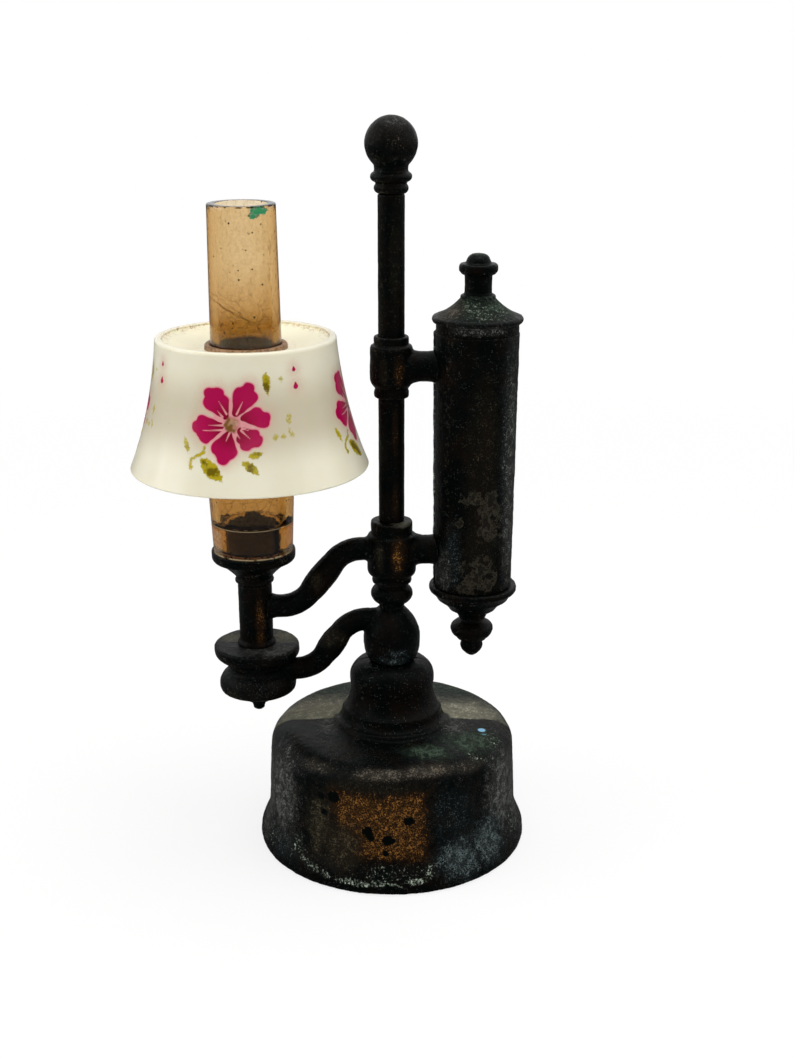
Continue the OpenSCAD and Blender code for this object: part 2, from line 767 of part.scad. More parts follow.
module tank_lid() {
    color(bronze) at_tank() difference() {
        lathe(concat(
            [
                [0, tank_top - plug_h], [bore_r - fit - 0.3, tank_top - plug_h],
                [bore_r - fit, tank_top - plug_h + 0.3], [bore_r - fit, tank_top],
                [seat_r, tank_top], [seat_r, lid_z]
            ],
            bead(lid_r, lid_z, lid_rim_h),
            curve([lid_r - 0.7, cone_z + 0.1], [lid_r * 0.62, cone_z + lid_cone_h * 0.35],
                [lid_bead_r + 0.1, cone_z + lid_cone_h], 5),
            bead(lid_bead_r, cone_z + lid_cone_h, lid_top - cone_z - lid_cone_h),
            [[0, lid_top]]
        ));
        lathe([
            [0, tank_top - plug_h - 1], [bore_r - fit - 0.9, tank_top - plug_h - 1],
            [bore_r - fit - 0.9, lid_z], [tenon_r + 1, cone_z + lid_cone_h * 0.45],
            [0, cone_z + lid_cone_h * 0.45]
        ]);
        tube(tenon_r + fit, lid_z, lid_top + 1);
    }
}

module lid_knob() {
    flange_z = lid_top + stem_h;
    dome_z = flange_z + knob_flange_h;
    color(bronze) at_tank() union() {
        tube(tenon_r, lid_top - 1.2, lid_top + 0.5);
        lathe(concat(
            [[0, lid_top], [stem_r + 0.15, lid_top], [stem_r, lid_top + 0.3], [stem_r, flange_z - 0.1]],
            [[stem_r + 0.4, flange_z]],
            arc([knob_flange_r - 0.4, flange_z + 0.55], 0.4, -60, 0, 3),
            arc([knob_flange_r - 0.4, dome_z - 0.4], 0.4, 0, 80, 4),
            curve([stem_r - 0.1, dome_z], [stem_r - 0.35, dome_z + knob_dome_h * 0.95],
                [0.5, dome_z + knob_dome_h], 5),
            [[0, dome_z + knob_dome_h]]
        ));
    }
}

// Burner

module burner_column() {
    color(worn) at_burner() union() {
        tube(screw_r, bowl_z - pan_nut_h + 0.5, bowl_z);
        tube(core_r, bowl_z, pan_z);
        lathe([
            [0, pan_z], [column_r + 0.35, pan_z], [column_r + 0.3, pan_z + 0.35],
            [column_r, pan_z + 0.8], [column_r, column_top], [0, column_top]
        ]);
        tube(core_r, column_top, peg_z + peg_h / 2);
    }
}

module pan_nut() {
    color(bronze) at_burner() difference() {
        lathe([
            [0, bowl_z - pan_nut_h], [0.5, bowl_z - pan_nut_h], [0.8, bowl_z - pan_nut_h + 0.25],
            [0.8, bowl_z - pan_nut_h + 0.5], [1.15, bowl_z - 0.5], [pan_nut_r, bowl_z - 0.4],
            [pan_nut_r, bowl_z], [0, bowl_z]
        ]);
        tube(screw_r + fit / 2, bowl_z - pan_nut_h + 0.5 - fit, bowl_z + 1);
    }
}

module burner_cup() {
    outer_r = chimney_foot_r + fit + cup_lip;
    color(bronze) at_burner() difference() {
        lathe(concat(
            [[0, cup_z], [cup_ring_r - 0.4, cup_z], [cup_ring_r - 0.35, cup_z + 0.2]],
            arc([cup_ring_r - 0.35, cup_z + 0.6], 0.35, -80, 80, 4),
            curve([cup_ring_r - 0.25, cup_z + 1.05], [cup_ring_r + 0.1, cup_z + 1.7],
                [outer_r - 1.5, peg_z - cup_floor_t - 0.6], 4),
            curve([outer_r - 0.6, peg_z - cup_floor_t], [outer_r - 0.05, peg_z - cup_floor_t + 0.05],
                [outer_r, peg_z - cup_floor_t + 0.6], 4),
            arc([outer_r - 0.15, rim_z - 0.15], 0.15, 0, 90, 3),
            [[0, rim_z]]
        ));
        tube(chimney_foot_r + fit, peg_z, rim_z + 1);
        tube(core_r + fit, cup_z - 1, peg_z + 1);
    }
}

module burner_peg() {
    color(bronze) at_burner() difference() {
        lathe([
            [0, peg_z], [peg_r, peg_z], [peg_r, peg_z + peg_h - 0.3],
            [peg_r - 0.3, peg_z + peg_h], [0, peg_z + peg_h]
        ]);
        tube(core_r + fit, peg_z - 1, peg_z + peg_h / 2 + fit);
        tube(tenon_r + fit, peg_z + peg_h - 1.2 - fit, peg_z + peg_h + 1);
    }
}

module wick_dome() {
    color(bronze) at_burner() union() {
        tube(tenon_r, peg_z + peg_h - 1.2, peg_z + peg_h);
        lathe(concat(
            [[0, peg_z + peg_h]],
            curve([dome_r, peg_z + peg_h], [dome_r - 0.3, peg_z + peg_h + dome_h * 0.8],
                [dome_r * 0.35, peg_z + peg_h + dome_h * 0.9], 6),
            [[0, peg_z + peg_h + dome_h]]
        ));
    }
}

// Chimney and shade

module chimney() {
    socket_r = peg_r + fit;
    bore_low = chimney_foot_r + 0.25 - chimney_wall;
    bore_high = chimney_shoulder_r - chimney_wall;
    color(amber) at_burner() difference() {
        lathe([
            [0, peg_z], [chimney_foot_r - 0.15, peg_z], [chimney_foot_r, peg_z + 0.15],
            [chimney_shoulder_r, seat_z - 0.4], [chimney_shoulder_r - 0.15, seat_z],
            [chimney_neck_r, seat_z],
            [chimney_top_r, seat_z + chimney_neck_h - 0.15],
            [chimney_top_r - 0.15, seat_z + chimney_neck_h], [0, seat_z + chimney_neck_h]
        ]);
        lathe([
            [0, peg_z - 1], [socket_r, peg_z - 1], [socket_r, peg_z + socket_h],
            [bore_low, peg_z + socket_h], [bore_high, seat_z - chimney_wall - 0.6],
            [chimney_neck_r - chimney_wall, seat_z - chimney_wall],
            [chimney_top_r - chimney_wall, seat_z + chimney_neck_h + 1],
            [0, seat_z + chimney_neck_h + 1]
        ]);
    }
}

module shade_ring() {
    color(brown) at_burner() difference() {
        lathe([
            [0, seat_z], [ring_flange_r, seat_z], [ring_flange_r, web_z], [ring_r, web_z],
            [ring_r, ring_top], [ring_lip_r, ring_top],
            [ring_lip_r - 0.05, ring_top + ring_lip_h * 0.4],
            [ring_lip_r - 0.25, ring_top + ring_lip_h], [0, ring_top + ring_lip_h]
        ]);
        tube(chimney_neck_r + fit, seat_z - 1, ring_top + ring_lip_h + 1);
    }
}

function shade_side(inset) = curve(
    [shade_foot_r - inset, shade_z], [shade_waist_r - inset, shade_z + shade_h * 0.454],
    [shade_top_r - inset, shade_top], 12);

module shade() {
    color(milk) at_burner() union() {
        difference() {
            lathe(concat([[0, shade_z]], shade_side(0), [[0, shade_top]]));
            lathe(concat([[0, shade_z - 1], [shade_foot_r - shade_wall, shade_z - 1]],
                shade_side(shade_wall), [[shade_top_r - shade_wall, shade_top + 1], [0, shade_top + 1]]));
        }
        lathe([
            [ring_r + fit, web_z], [ring_flange_r, web_z],
            [shade_top_r - shade_wall / 2, web_z + web_rise],
            [shade_top_r - shade_wall / 2, web_z + web_rise + web_t],
            [ring_flange_r, web_z + web_t], [ring_r + fit, web_z + web_t]
        ]);
    }
}

base_front_shell();
base_rear_shell();
post_rod();
post_washer();
post_nut();
lower_arm_front();
lower_arm_rear();
pan_nut();
knob_ring();
lower_sleeve();
upper_sleeve();
ball_finial();
burner_column();
burner_cup();
burner_peg();
wick_dome();
tank_front_shell();
tank_rear_shell();
tank_bottom_cap();
tank_drip_finial();
tank_lid();
lid_knob();
chimney();
shade_ring();
shade();
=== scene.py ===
import math

import bpy
import numpy as np
from mathutils import Matrix, Vector, noise


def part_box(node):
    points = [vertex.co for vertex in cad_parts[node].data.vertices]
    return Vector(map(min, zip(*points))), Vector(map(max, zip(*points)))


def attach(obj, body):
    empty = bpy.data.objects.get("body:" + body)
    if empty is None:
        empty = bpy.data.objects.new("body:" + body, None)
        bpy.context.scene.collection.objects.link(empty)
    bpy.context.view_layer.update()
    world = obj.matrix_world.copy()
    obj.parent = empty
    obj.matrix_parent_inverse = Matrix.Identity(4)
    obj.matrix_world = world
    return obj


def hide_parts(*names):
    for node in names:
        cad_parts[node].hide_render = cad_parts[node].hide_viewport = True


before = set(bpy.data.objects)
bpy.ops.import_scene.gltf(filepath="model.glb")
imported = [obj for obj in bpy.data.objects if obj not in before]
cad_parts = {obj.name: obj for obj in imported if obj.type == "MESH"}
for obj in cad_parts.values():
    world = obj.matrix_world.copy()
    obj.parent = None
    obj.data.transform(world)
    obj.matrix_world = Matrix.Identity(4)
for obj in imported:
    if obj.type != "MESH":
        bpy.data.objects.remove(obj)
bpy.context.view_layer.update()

# Millimetres to metres: sizes below are in millimetres unless they say otherwise
MM = 0.001


def node_box(node):
    """Lowest and highest corner of a node, in millimetres."""
    low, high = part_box(node)
    return low / MM, high / MM


def axis_x(node):
    """Where a round node's axis stands along X, in millimetres."""
    return sum(corner.x for corner in node_box(node)) / 2


BURNER_X = axis_x("chimney")
TANK_X = axis_x("tank_lid")

# Camera: it stands where the photograph was taken, and looks down at the lamp
PHOTO_LONG_SIDE = 1059
AIM_LEFT_PIXELS = 0.6
FOCAL_PIXELS = 1506.45
AIM_BELOW_MIDDLE_PIXELS = 80
CAMERA_PLACE = (0.81, -195.007, 110.367)
CAMERA_PITCH = 21.303
SENSOR = 36

camera_data = bpy.data.cameras.new("camera")
camera_data.sensor_fit = "AUTO"
camera_data.sensor_width = SENSOR
camera_data.lens = SENSOR * FOCAL_PIXELS / PHOTO_LONG_SIDE
camera_data.shift_x = -AIM_LEFT_PIXELS / PHOTO_LONG_SIDE
camera_data.shift_y = AIM_BELOW_MIDDLE_PIXELS / PHOTO_LONG_SIDE
camera_data.clip_start = 0.005
camera = bpy.data.objects.new("camera", camera_data)
camera.location = Vector(CAMERA_PLACE) * MM
camera.rotation_euler = (math.radians(90 - CAMERA_PITCH), 0, 0)
bpy.context.scene.collection.objects.link(camera)
bpy.context.scene.camera = camera

# Light: a bright room of soft panels
LOOK_AT = Vector((-4, 0, 45)) * MM


def panel(name, place, size, power):
    """A square soft light that faces the lamp; place and size in metres, power in watts."""
    data = bpy.data.lights.new(name, "AREA")
    data.shape = "SQUARE"
    data.size = size
    data.energy = power
    light = bpy.data.objects.new(name, data)
    light.location = place
    light.rotation_euler = (LOOK_AT - Vector(place)).to_track_quat("-Z", "Y").to_euler()
    bpy.context.scene.collection.objects.link(light)


panel("top_panel", (0.05, 0.0, 0.6), 0.5, 2.4)
panel("left_panel", (-0.55, -0.1, 0.3), 0.4, 1.3)
panel("right_panel", (0.5, -0.12, 0.35), 0.4, 0.7)
panel("front_panel", (0.1, -0.7, 0.5), 0.5, 0.6)


# Materials


def add_node(tree, kind, **values):
    """A new shader node. Values with a capital are its sockets, with _ for a space; others its settings."""
    node = tree.nodes.new("ShaderNode" + kind)
    for name, value in values.items():
        if name[0].isupper():
            node.inputs[name.replace("_", " ")].default_value = value
        else:
            setattr(node, name, value)
    return node


class Paint:
    """One procedural material, painted in millimetres on the object's own coordinates."""

    def __init__(self, name):
        self.material = bpy.data.materials.new(name)
        self.material.use_nodes = True
        self.tree = self.material.node_tree
        self.tree.nodes.clear()
        self.output = add_node(self.tree, "OutputMaterial")
        self.skin = add_node(self.tree, "BsdfPrincipled")
        self.tree.links.new(self.skin.outputs[0], self.output.inputs["Surface"])
        coordinates = add_node(self.tree, "TexCoord")
        self.place = self.vector("SCALE", coordinates.outputs["Object"], 1 / MM)

    def feed(self, socket, value):
        if isinstance(value, bpy.types.NodeSocket):
            self.tree.links.new(value, socket)
        elif isinstance(value, (tuple, list)) and len(value) == 3 and socket.type == "RGBA":
            socket.default_value = (*value, 1)
        else:
            socket.default_value = value

    def vector(self, operation, a, b=(0, 0, 0)):
        node = add_node(self.tree, "VectorMath", operation=operation)
        self.feed(node.inputs[0], a)
        self.feed(node.inputs["Scale" if operation == "SCALE" else 1], b)
        return node.outputs["Value" if operation in ("LENGTH", "DOT_PRODUCT") else "Vector"]

    def math(self, operation, a, b=0.0, clamp=False):
        node = add_node(self.tree, "Math", operation=operation, use_clamp=clamp)
        self.feed(node.inputs[0], a)
        self.feed(node.inputs[1], b)
        return node.outputs[0]

    def fold(self, operation, values):
        result = values[0]
        for value in values[1:]:
            result = self.math(operation, result, value)
        return result

    def times(self, *values):
        return self.fold("MULTIPLY", values)

    def add(self, *values):
        return self.fold("ADD", values)

    def most(self, *values):
        return self.fold("MAXIMUM", values)

    def less(self, a, b):
        return self.math("SUBTRACT", a, b)

    def apart(self, a, b):
        """How far a and b are apart."""
        return self.math("ABSOLUTE", self.less(a, b))

    def axis(self, letter, of=None):
        """One coordinate of the place, in millimetres, or of another vector."""
        node = add_node(self.tree, "SeparateXYZ")
        self.feed(node.inputs[0], of or self.place)
        return node.outputs[letter]

    def noise(self, scale, detail=3.0, rough=0.55, stretch=None):
        node = add_node(self.tree, "TexNoise", Scale=scale, Detail=detail, Roughness=rough)
        place = self.vector("MULTIPLY", self.place, stretch) if stretch else self.place
        self.feed(node.inputs["Vector"], place)
        return node.outputs[0]

    def cells(self, scale, feature="F1", place=None):
        """Outputs of a cell pattern."""
        node = add_node(self.tree, "TexVoronoi", feature=feature, Scale=scale)
        self.feed(node.inputs["Vector"], place or self.place)
        return node.outputs

    def specks(self, scale, size, share):
        """Round specks on a scattered few of the cells, of the given size and share of cells."""
        cells = self.cells(scale)
        chance = self.step(self.axis("X", cells["Color"]), 1.0 - share, 1.06 - share)
        return self.times(self.step(cells["Distance"], size, size * 0.6), chance)

    def hairlines(self, scale, width):
        """A web of fine lines."""
        place = self.vector("ADD", self.place, self.drift(0.9, 0.8))
        edge = self.cells(scale, "DISTANCE_TO_EDGE", place)["Distance"]
        return self.step(edge, width, width * 0.3)

    def drift(self, scale, reach):
        """A wandering offset of up to about half the reach."""
        node = add_node(self.tree, "TexNoise", Scale=scale)
        self.feed(node.inputs["Vector"], self.place)
        return self.vector("SCALE", self.vector("SUBTRACT", node.outputs["Color"], (0.5, 0.5, 0.5)), reach)

    def step(self, value, low, high):
        """A soft step from 0 at low to 1 at high; low may be the greater of the two."""
        node = add_node(self.tree, "MapRange", interpolation_type="SMOOTHSTEP", From_Min=low, From_Max=high)
        self.feed(node.inputs["Value"], value)
        return node.outputs[0]

    def mix(self, factor, a, b):
        """A colour between a and b."""
        node = add_node(self.tree, "Mix", data_type="RGBA")
        self.feed(node.inputs[0], factor)
        self.feed(node.inputs[6], a)
        self.feed(node.inputs[7], b)
        return node.outputs[2]

    def blend(self, factor, a, b):
        """A plain number between a and b."""
        node = add_node(self.tree, "Mix", data_type="FLOAT")
        self.feed(node.inputs[0], factor)
        self.feed(node.inputs[2], a)
        self.feed(node.inputs[3], b)
        return node.outputs[0]

    def attribute(self, name):
        return add_node(self.tree, "Attribute", attribute_name=name).outputs["Fac"]

    def spots(self, places):
        """1 in the middle of any place, 0 at its edge, below 0 outside. A place is x, y, z, rx, ry, rz."""
        near = []
        for place in places:
            away = self.vector("DIVIDE", self.vector("SUBTRACT", self.place, place[:3]), place[3:])
            near.append(self.less(1.0, self.vector("LENGTH", away)))
        return self.most(*near)

    def box(self, centre, half):
        """1 in the middle of a box seen from the front, 0 at its edge and below 0 outside."""
        away = self.vector("SUBTRACT", self.place, (centre[0], 0, centre[1]))
        away = self.vector("ABSOLUTE", self.vector("DIVIDE", away, (half[0], 1, half[1])))
        return self.less(1.0, self.most(self.axis("X", away), self.axis("Z", away)))

    def path(self, points, width):
        """1 on a line through the points, 0 at half its width away from it and below 0 further out."""
        near = []
        for start, end in zip(points, points[1:]):
            step = Vector(end) - Vector(start)
            from_start = self.vector("SUBTRACT", self.place, start)
            share = self.vector("DOT_PRODUCT", from_start, tuple(step / step.length_squared))
            share = self.math("MULTIPLY", share, 1.0, clamp=True)
            along = self.vector("SCALE", tuple(step), share)
            aside = self.vector("LENGTH", self.vector("SUBTRACT", from_start, along))
            near.append(self.less(1.0, self.math("DIVIDE", aside, width / 2)))
        return self.most(*near)

    def broken(self, scale, strength, detail=4, rough=0.65):
        """Noise about 0 that breaks up an edge."""
        return self.times(self.less(self.noise(scale, detail, rough), 0.5), strength)

    def relief(self, height, depth):
        """Surface relief as deep as depth, in millimetres."""
        node = add_node(self.tree, "Bump", Strength=1.0, Distance=depth * MM)
        self.feed(node.inputs["Height"], height)
        self.feed(self.skin.inputs["Normal"], node.outputs[0])

    def set(self, **values):
        """Feeds the skin's sockets, named with _ for a space."""
        for name, value in values.items():
            self.feed(self.skin.inputs[name.replace("_", " ")], value)


# The patina's own blacks
INK = (0.0006, 0.0016, 0.0015)
UMBER = (0.0036, 0.0024, 0.0016)
# Lighter edges: wear, and a painted highlight along sharp edges
EDGE_WEAR_AND_GLINT = (0.060, 0.056, 0.046)
# Pale specks: dust, and painted glints on the grain
DUST_AND_GLINT = (0.075, 0.082, 0.074)
SEAM = (0.0004, 0.0006, 0.0006)
PATINA_GLOSS = 0.05

# What has happened to a patch of patina, or the painted sheen and highlight laid over it: the stain, its
# flecks, how strong the stain is, how matt they are and how much of the patch the flecks leave bare
COPPER = ((0.013, 0.0062, 0.0024), (0.29, 0.125, 0.025), 0.9, 0.45, 0.70)
OLIVE = ((0.009, 0.0075, 0.0045), (0.070, 0.058, 0.034), 0.8, 0.6, 0.66)
TAN = ((0.185, 0.178, 0.130), (0.50, 0.48, 0.37), 0.95, 0.9, 0.68)
GREEN = ((0.005, 0.010, 0.007), (0.070, 0.105, 0.070), 0.7, 0.7, 0.64)
BLUE = ((0.006, 0.010, 0.011), (0.100, 0.130, 0.130), 0.6, 0.7, 0.65)
SALT = ((0.004, 0.006, 0.004), (0.46, 0.54, 0.43), 0.3, 0.85, 0.66)
# A pale grainy haze, laid mostly as a painted sheen along the edges and sides of castings
HAZE_AND_SHEEN = ((0.013, 0.0135, 0.012), (0.135, 0.140, 0.128), 0.8, 0.7, 0.60)
# Rub: worn spots, and on the bell's shoulder a painted highlight streak
RUB_AND_HIGHLIGHT = ((0.018, 0.015, 0.011), (0.125, 0.108, 0.082), 0.8, 0.5, 0.62)
FLAKED = ((0.009, 0.008, 0.0055), (0.036, 0.031, 0.021), 1.0, 0.6, 0)


def flaked(p, colour, rough, amount, near):
    """Scales that have come off with sharp edges, and the brown below them."""
    stain, flecks, strength, matt, _ = FLAKED
    peel = p.add(p.noise(0.55, 6, 0.74), p.times(p.math("MINIMUM", near, 0.5), 0.22))
    cover = p.times(p.step(peel, 0.558, 0.570), p.step(near, 0.0, 0.05))
    tone = p.mix(p.step(p.add(peel, p.broken(2.2, 0.2)), 0.66, 0.56), stain, flecks)
    return p.mix(p.times(cover, amount, strength), colour, tone), p.blend(cover, rough, matt)


def wear(p, colour, rough, grain, kind, amount, near):
    """Lays one kind of wear over the colour, stippled away towards its edges."""
    stain, flecks, strength, matt, bare = kind
    cover = p.step(p.add(near, p.broken(0.8, 1.4, 5, 0.75)), -0.25, 0.70)
    cover = p.times(cover, amount)
    colour = p.mix(p.times(cover, strength), colour, stain)
    if kind is SALT:
        grain = p.noise(3.1, 4, 0.75)
    speck = p.step(p.add(grain, p.times(cover, 0.22)), bare, bare + 0.12)
    speck = p.times(speck, p.step(cover, 0.02, 0.25))
    bright = p.mix(p.step(p.noise(1.1, 4, 0.7), 0.40, 0.62), tuple(0.22 * c for c in flecks), flecks)
    rough = p.blend(p.most(speck, p.times(cover, 0.5)), rough, matt)
    return p.mix(speck, colour, bright), rough


def patina(name, wears=(), edge_wear_and_glint=0.5, pits=(), dots=(), dust_and_glint=0.3, seam=False):
    """Dark patinated casting. Each wear is a kind, how much of it, and the places where it lies."""
    p = Paint(name)
    cloud = p.noise(0.32, 4)
    grain = p.noise(5.0, 4, 0.7)
    colour = p.mix(p.step(cloud, 0.42, 0.66), INK, UMBER)
    rough = p.blend(grain, 0.16, 0.32)
    # Scattered pale specks, partly dust and partly painted glints
    fine = p.times(p.specks(4.6, 0.40, 0.26), p.step(p.noise(0.5, 3, 0.6), 0.34, 0.70))
    colour = p.mix(p.times(fine, dust_and_glint), colour, DUST_AND_GLINT)
    # Sharp edges are lightened, partly as wear and partly as a painted highlight
    edges = p.step(add_node(p.tree, "NewGeometry").outputs["Pointiness"], 0.51, 0.56)
    worn_and_glinting = p.times(edges, p.step(grain, 0.48, 0.66))
    colour = p.mix(p.times(worn_and_glinting, edge_wear_and_glint), colour, EDGE_WEAR_AND_GLINT)
    for kind, amount, places in wears:
        near = places(p) if callable(places) else p.spots(places)
        if kind is FLAKED:
            colour, rough = flaked(p, colour, rough, amount, near)
        else:
            colour, rough = wear(p, colour, rough, grain, kind, amount, near)
    if pits:
        colour = p.mix(p.step(p.add(p.spots(pits), p.broken(1.8, 1.6)), 0.0, 0.2), colour, INK)
    for place, tint in dots:
        colour = p.mix(p.step(p.spots([place]), 0.0, 0.25), colour, tint)
    if seam:
        joint = p.math("ABSOLUTE", p.add(p.axis("Y"), p.times(p.noise(0.8), 0.1)))
        colour = p.mix(p.step(joint, 0.22, 0.08), colour, SEAM)
    p.set(Base_Color=colour, Roughness=rough, Specular_IOR_Level=PATINA_GLOSS)
    p.relief(p.add(grain, p.noise(1.6, 3, 0.5)), 0.07)
    return p.material


def plain_metal(name):
    """Bright fastener steel with a brushed, slightly tarnished face."""
    p = Paint(name)
    brushed = p.noise(6.0, 3, 0.6, (1, 1, 6))
    p.set(Base_Color=p.mix(brushed, (0.30, 0.29, 0.27), (0.55, 0.54, 0.51)), Metallic=0.9)
    p.set(Roughness=p.blend(p.noise(2.0), 0.3, 0.55))
    p.relief(brushed, 0.01)
    return p.material


AMBER_ABSORBED = (0.797, 0.554, 0.071, 1)
AMBER_DENSITY = 640
AMBER_IOR = 1.49
AMBER_GLOSS = 0.12
CRACK_Z = 75.0
CRACK_FALL = -0.55
SHELF_DIRT = (0.016, 0.009, 0.004)
FROST_CRUST_AND_GLARE = (0.52, 0.39, 0.22)
SMEAR_DARK = (0.020, 0.21, 0.075)
SMEAR_LIGHT = (0.075, 0.36, 0.16)


def amber_inside(p):
    """Lets the plastic darken light on its way through."""
    amber = add_node(p.tree, "VolumeAbsorption", Color=AMBER_ABSORBED, Density=AMBER_DENSITY)
    p.tree.links.new(amber.outputs[0], p.output.inputs["Volume"])


def amber_tint(p, dirt, height, seat_z):
    """Clear at the top, browner and duller towards the foot, finely scratched all over."""
    low = p.step(p.add(height, p.broken(0.3, 5.0)), CRACK_Z + 8.0, CRACK_Z - 4.0)
    clear = p.mix(p.noise(0.5, 3), (1.0, 1.0, 1.0), (0.96, 0.95, 0.92))
    colour = p.mix(p.times(low, 0.8), clear, p.mix(dirt, (0.82, 0.63, 0.31), (0.64, 0.47, 0.215)))
    foot = p.times(p.step(height, CRACK_Z + 1.5, CRACK_Z - 2.5), p.step(height, seat_z, seat_z + 2.0))
    colour = p.mix(foot, colour, (0.56, 0.43, 0.18))
    scratch = p.step(p.noise(2.4, 3, 0.6, (1, 1, 0.25)), 0.56, 0.68)
    colour = p.mix(p.times(scratch, 0.4), colour, (0.62, 0.54, 0.40))
    mottle = p.step(p.noise(2.6, 4, 0.75), 0.52, 0.66)
    return p.mix(p.times(mottle, 0.45), colour, (0.62, 0.52, 0.36))


def amber_cracks(p, across, height):
    """How much a place is cracked: one long crack, a web of fine ones, and scratches at the right."""
    middle = p.add(p.times(across, CRACK_FALL), CRACK_Z, p.noise(0.9, 5, 0.7))
    crack = p.times(p.step(p.apart(height, middle), 0.16, 0.04), p.step(across, 1.6, 0.6))
    webs = p.times(p.hairlines(0.62, 0.045), p.step(height, CRACK_Z + 6.0, CRACK_Z),
                   p.step(p.noise(0.6), 0.38, 0.52))
    side = p.times(p.step(p.noise(1.6, 4, 0.7, (1, 1, 0.4)), 0.56, 0.60), p.step(across, 2.9, 3.7),
                   p.step(height, CRACK_Z + 13.0, CRACK_Z + 9.0))
    return p.most(crack, p.times(p.most(webs, side), 0.7))


def amber_dirt(p, above_shelf, height, rim, front):
    """How dark a place is with dirt: heaped on the shelf, in specks, and round the rim."""
    heap = p.less(above_shelf, p.add(p.broken(0.4, 2.4, 2, 0.5), 0.45))
    heap = p.times(p.step(heap, 0.05, -0.15), p.step(above_shelf, 0.02, 0.10))
    heap = p.times(heap, p.step(p.axis("Y"), 3.0, 1.5))
    rim_dirt = p.times(p.step(p.apart(height, rim - 0.14), 0.09, 0.04), p.step(p.noise(1.3, 3), 0.46, 0.56))
    return p.most(heap, p.times(p.specks(1.1, 0.16, 0.20), 0.7), p.times(rim_dirt, front, 0.8))


def amber_frost_and_glare(p, across, above_shelf, dirt):
    """How pale a place is at both sides of the foot: frosting, and a painted reflection in the thick wall,
    stronger at the left.
    """
    sides = p.most(p.step(across, -3.4, -4.4), p.times(p.step(across, 3.8, 4.8), 0.6))
    below = p.times(p.step(above_shelf, -0.1, -0.5), p.step(p.axis("Y"), 2.5, 0.5))
    return p.times(sides, below, p.step(dirt, 0.20, 0.72))


def amber_smear(p, rim):
    """How thick a smear of green paint lies on a place, just under the rim."""
    smear = p.spots([(BURNER_X + 2.3, -2.9, rim - 0.65, 1.3, 2.4, 0.55),
                     (BURNER_X + 1.7, -2.9, rim - 1.15, 0.7, 2.4, 0.55)])
    return p.step(p.add(smear, p.broken(1.5, 1.8)), 0.12, 0.30)


def amber_plastic(name, shelf_z):
    """Clear amber plastic, dulled and scratched, with dirt on the shelf inside."""
    p = Paint(name)
    amber_inside(p)
    rim = node_box("chimney")[1].z
    foot_z = node_box("burner_cup")[1].z
    dirt = p.noise(1.6, 4, 0.6)
    height = p.axis("Z")
    across = p.less(p.axis("X"), BURNER_X)
    above_shelf = p.less(height, shelf_z)
    front = p.step(p.axis("Y"), 0.3, -0.3)
    colour = amber_tint(p, dirt, height, node_box("shade_ring")[0].z)
    cracked = p.times(amber_cracks(p, across, height), front)
    colour = p.mix(p.times(cracked, 0.85), colour, (0.22, 0.13, 0.05))
    dark = amber_dirt(p, above_shelf, height, rim, front)
    colour = p.mix(p.step(dark, 0.0, 0.2), colour, SHELF_DIRT)
    dark = p.step(dark, 0.1, 0.9)
    crust = p.times(p.step(height, foot_z + 0.20, foot_z + 0.10), p.step(dirt, 0.36, 0.5))
    shelf_line = p.times(p.step(p.apart(above_shelf, 0.15), 0.08, 0.03), front, 0.55)
    # Pale at the sides of the foot, partly frosting and partly a painted reflection, with the crust and
    # shelf line
    pale = p.most(p.times(amber_frost_and_glare(p, across, above_shelf, dirt), 0.34), crust, shelf_line)
    colour = p.mix(pale, colour, FROST_CRUST_AND_GLARE)
    smear = p.times(amber_smear(p, rim), front)
    colour = p.mix(smear, colour, p.mix(dirt, SMEAR_DARK, SMEAR_LIGHT))
    solid = p.most(dark, p.times(smear, 0.85), pale)
    p.set(Base_Color=colour, Roughness=p.blend(dirt, 0.03, 0.10))
    p.set(Transmission_Weight=p.blend(solid, 1.0, 0.0), IOR=AMBER_IOR, Specular_IOR_Level=AMBER_GLOSS)
    p.relief(p.noise(1.4, 3), 0.03)
    return p.material


def brown_plastic(name):
    """Brown plastic with a dull, scuffed skin."""
    p = Paint(name)
    dirt = p.noise(2.2, 4, 0.65)
    colour = p.mix(p.step(dirt, 0.38, 0.62), (0.120, 0.055, 0.017), (0.36, 0.20, 0.095))
    colour = p.mix(p.step(p.noise(5.0, 3, 0.7), 0.58, 0.70), colour, (0.46, 0.34, 0.22))
    p.set(Base_Color=colour, Roughness=p.blend(dirt, 0.35, 0.7))
    p.relief(dirt, 0.06)
    return p.material


PETAL_DEEP = (0.225, 0.0005, 0.019)
PETAL_BRIGHT = (0.400, 0.0008, 0.066)
PETAL_EDGE = (0.70, 0.27, 0.30)
FLOWER_GLOW = (0.60, 0.40, 0.30)
HEART = (0.34, 0.135, 0.060)
LEAF_LIGHT = (0.42, 0.34, 0.010)
LEAF_DARK = (0.150, 0.105, 0.001)
SEED = (0.16, 0.075, 0.004)
MIDDLE_PAINTED_SHADE = (0.54, 0.475, 0.345)
WEB_PAINTED_LIGHT = (0.97, 0.90, 0.65)


def printed(p, field, edge=0.05, torn=0.0):
    """1 inside a part of the print, from the distance that the mesh carries; torn roughens its edge."""
    distance = p.attribute(field)
    if torn:
        distance = p.add(distance, p.broken(1.9, torn, 5, 0.7))
    return p.step(distance, edge, -edge)


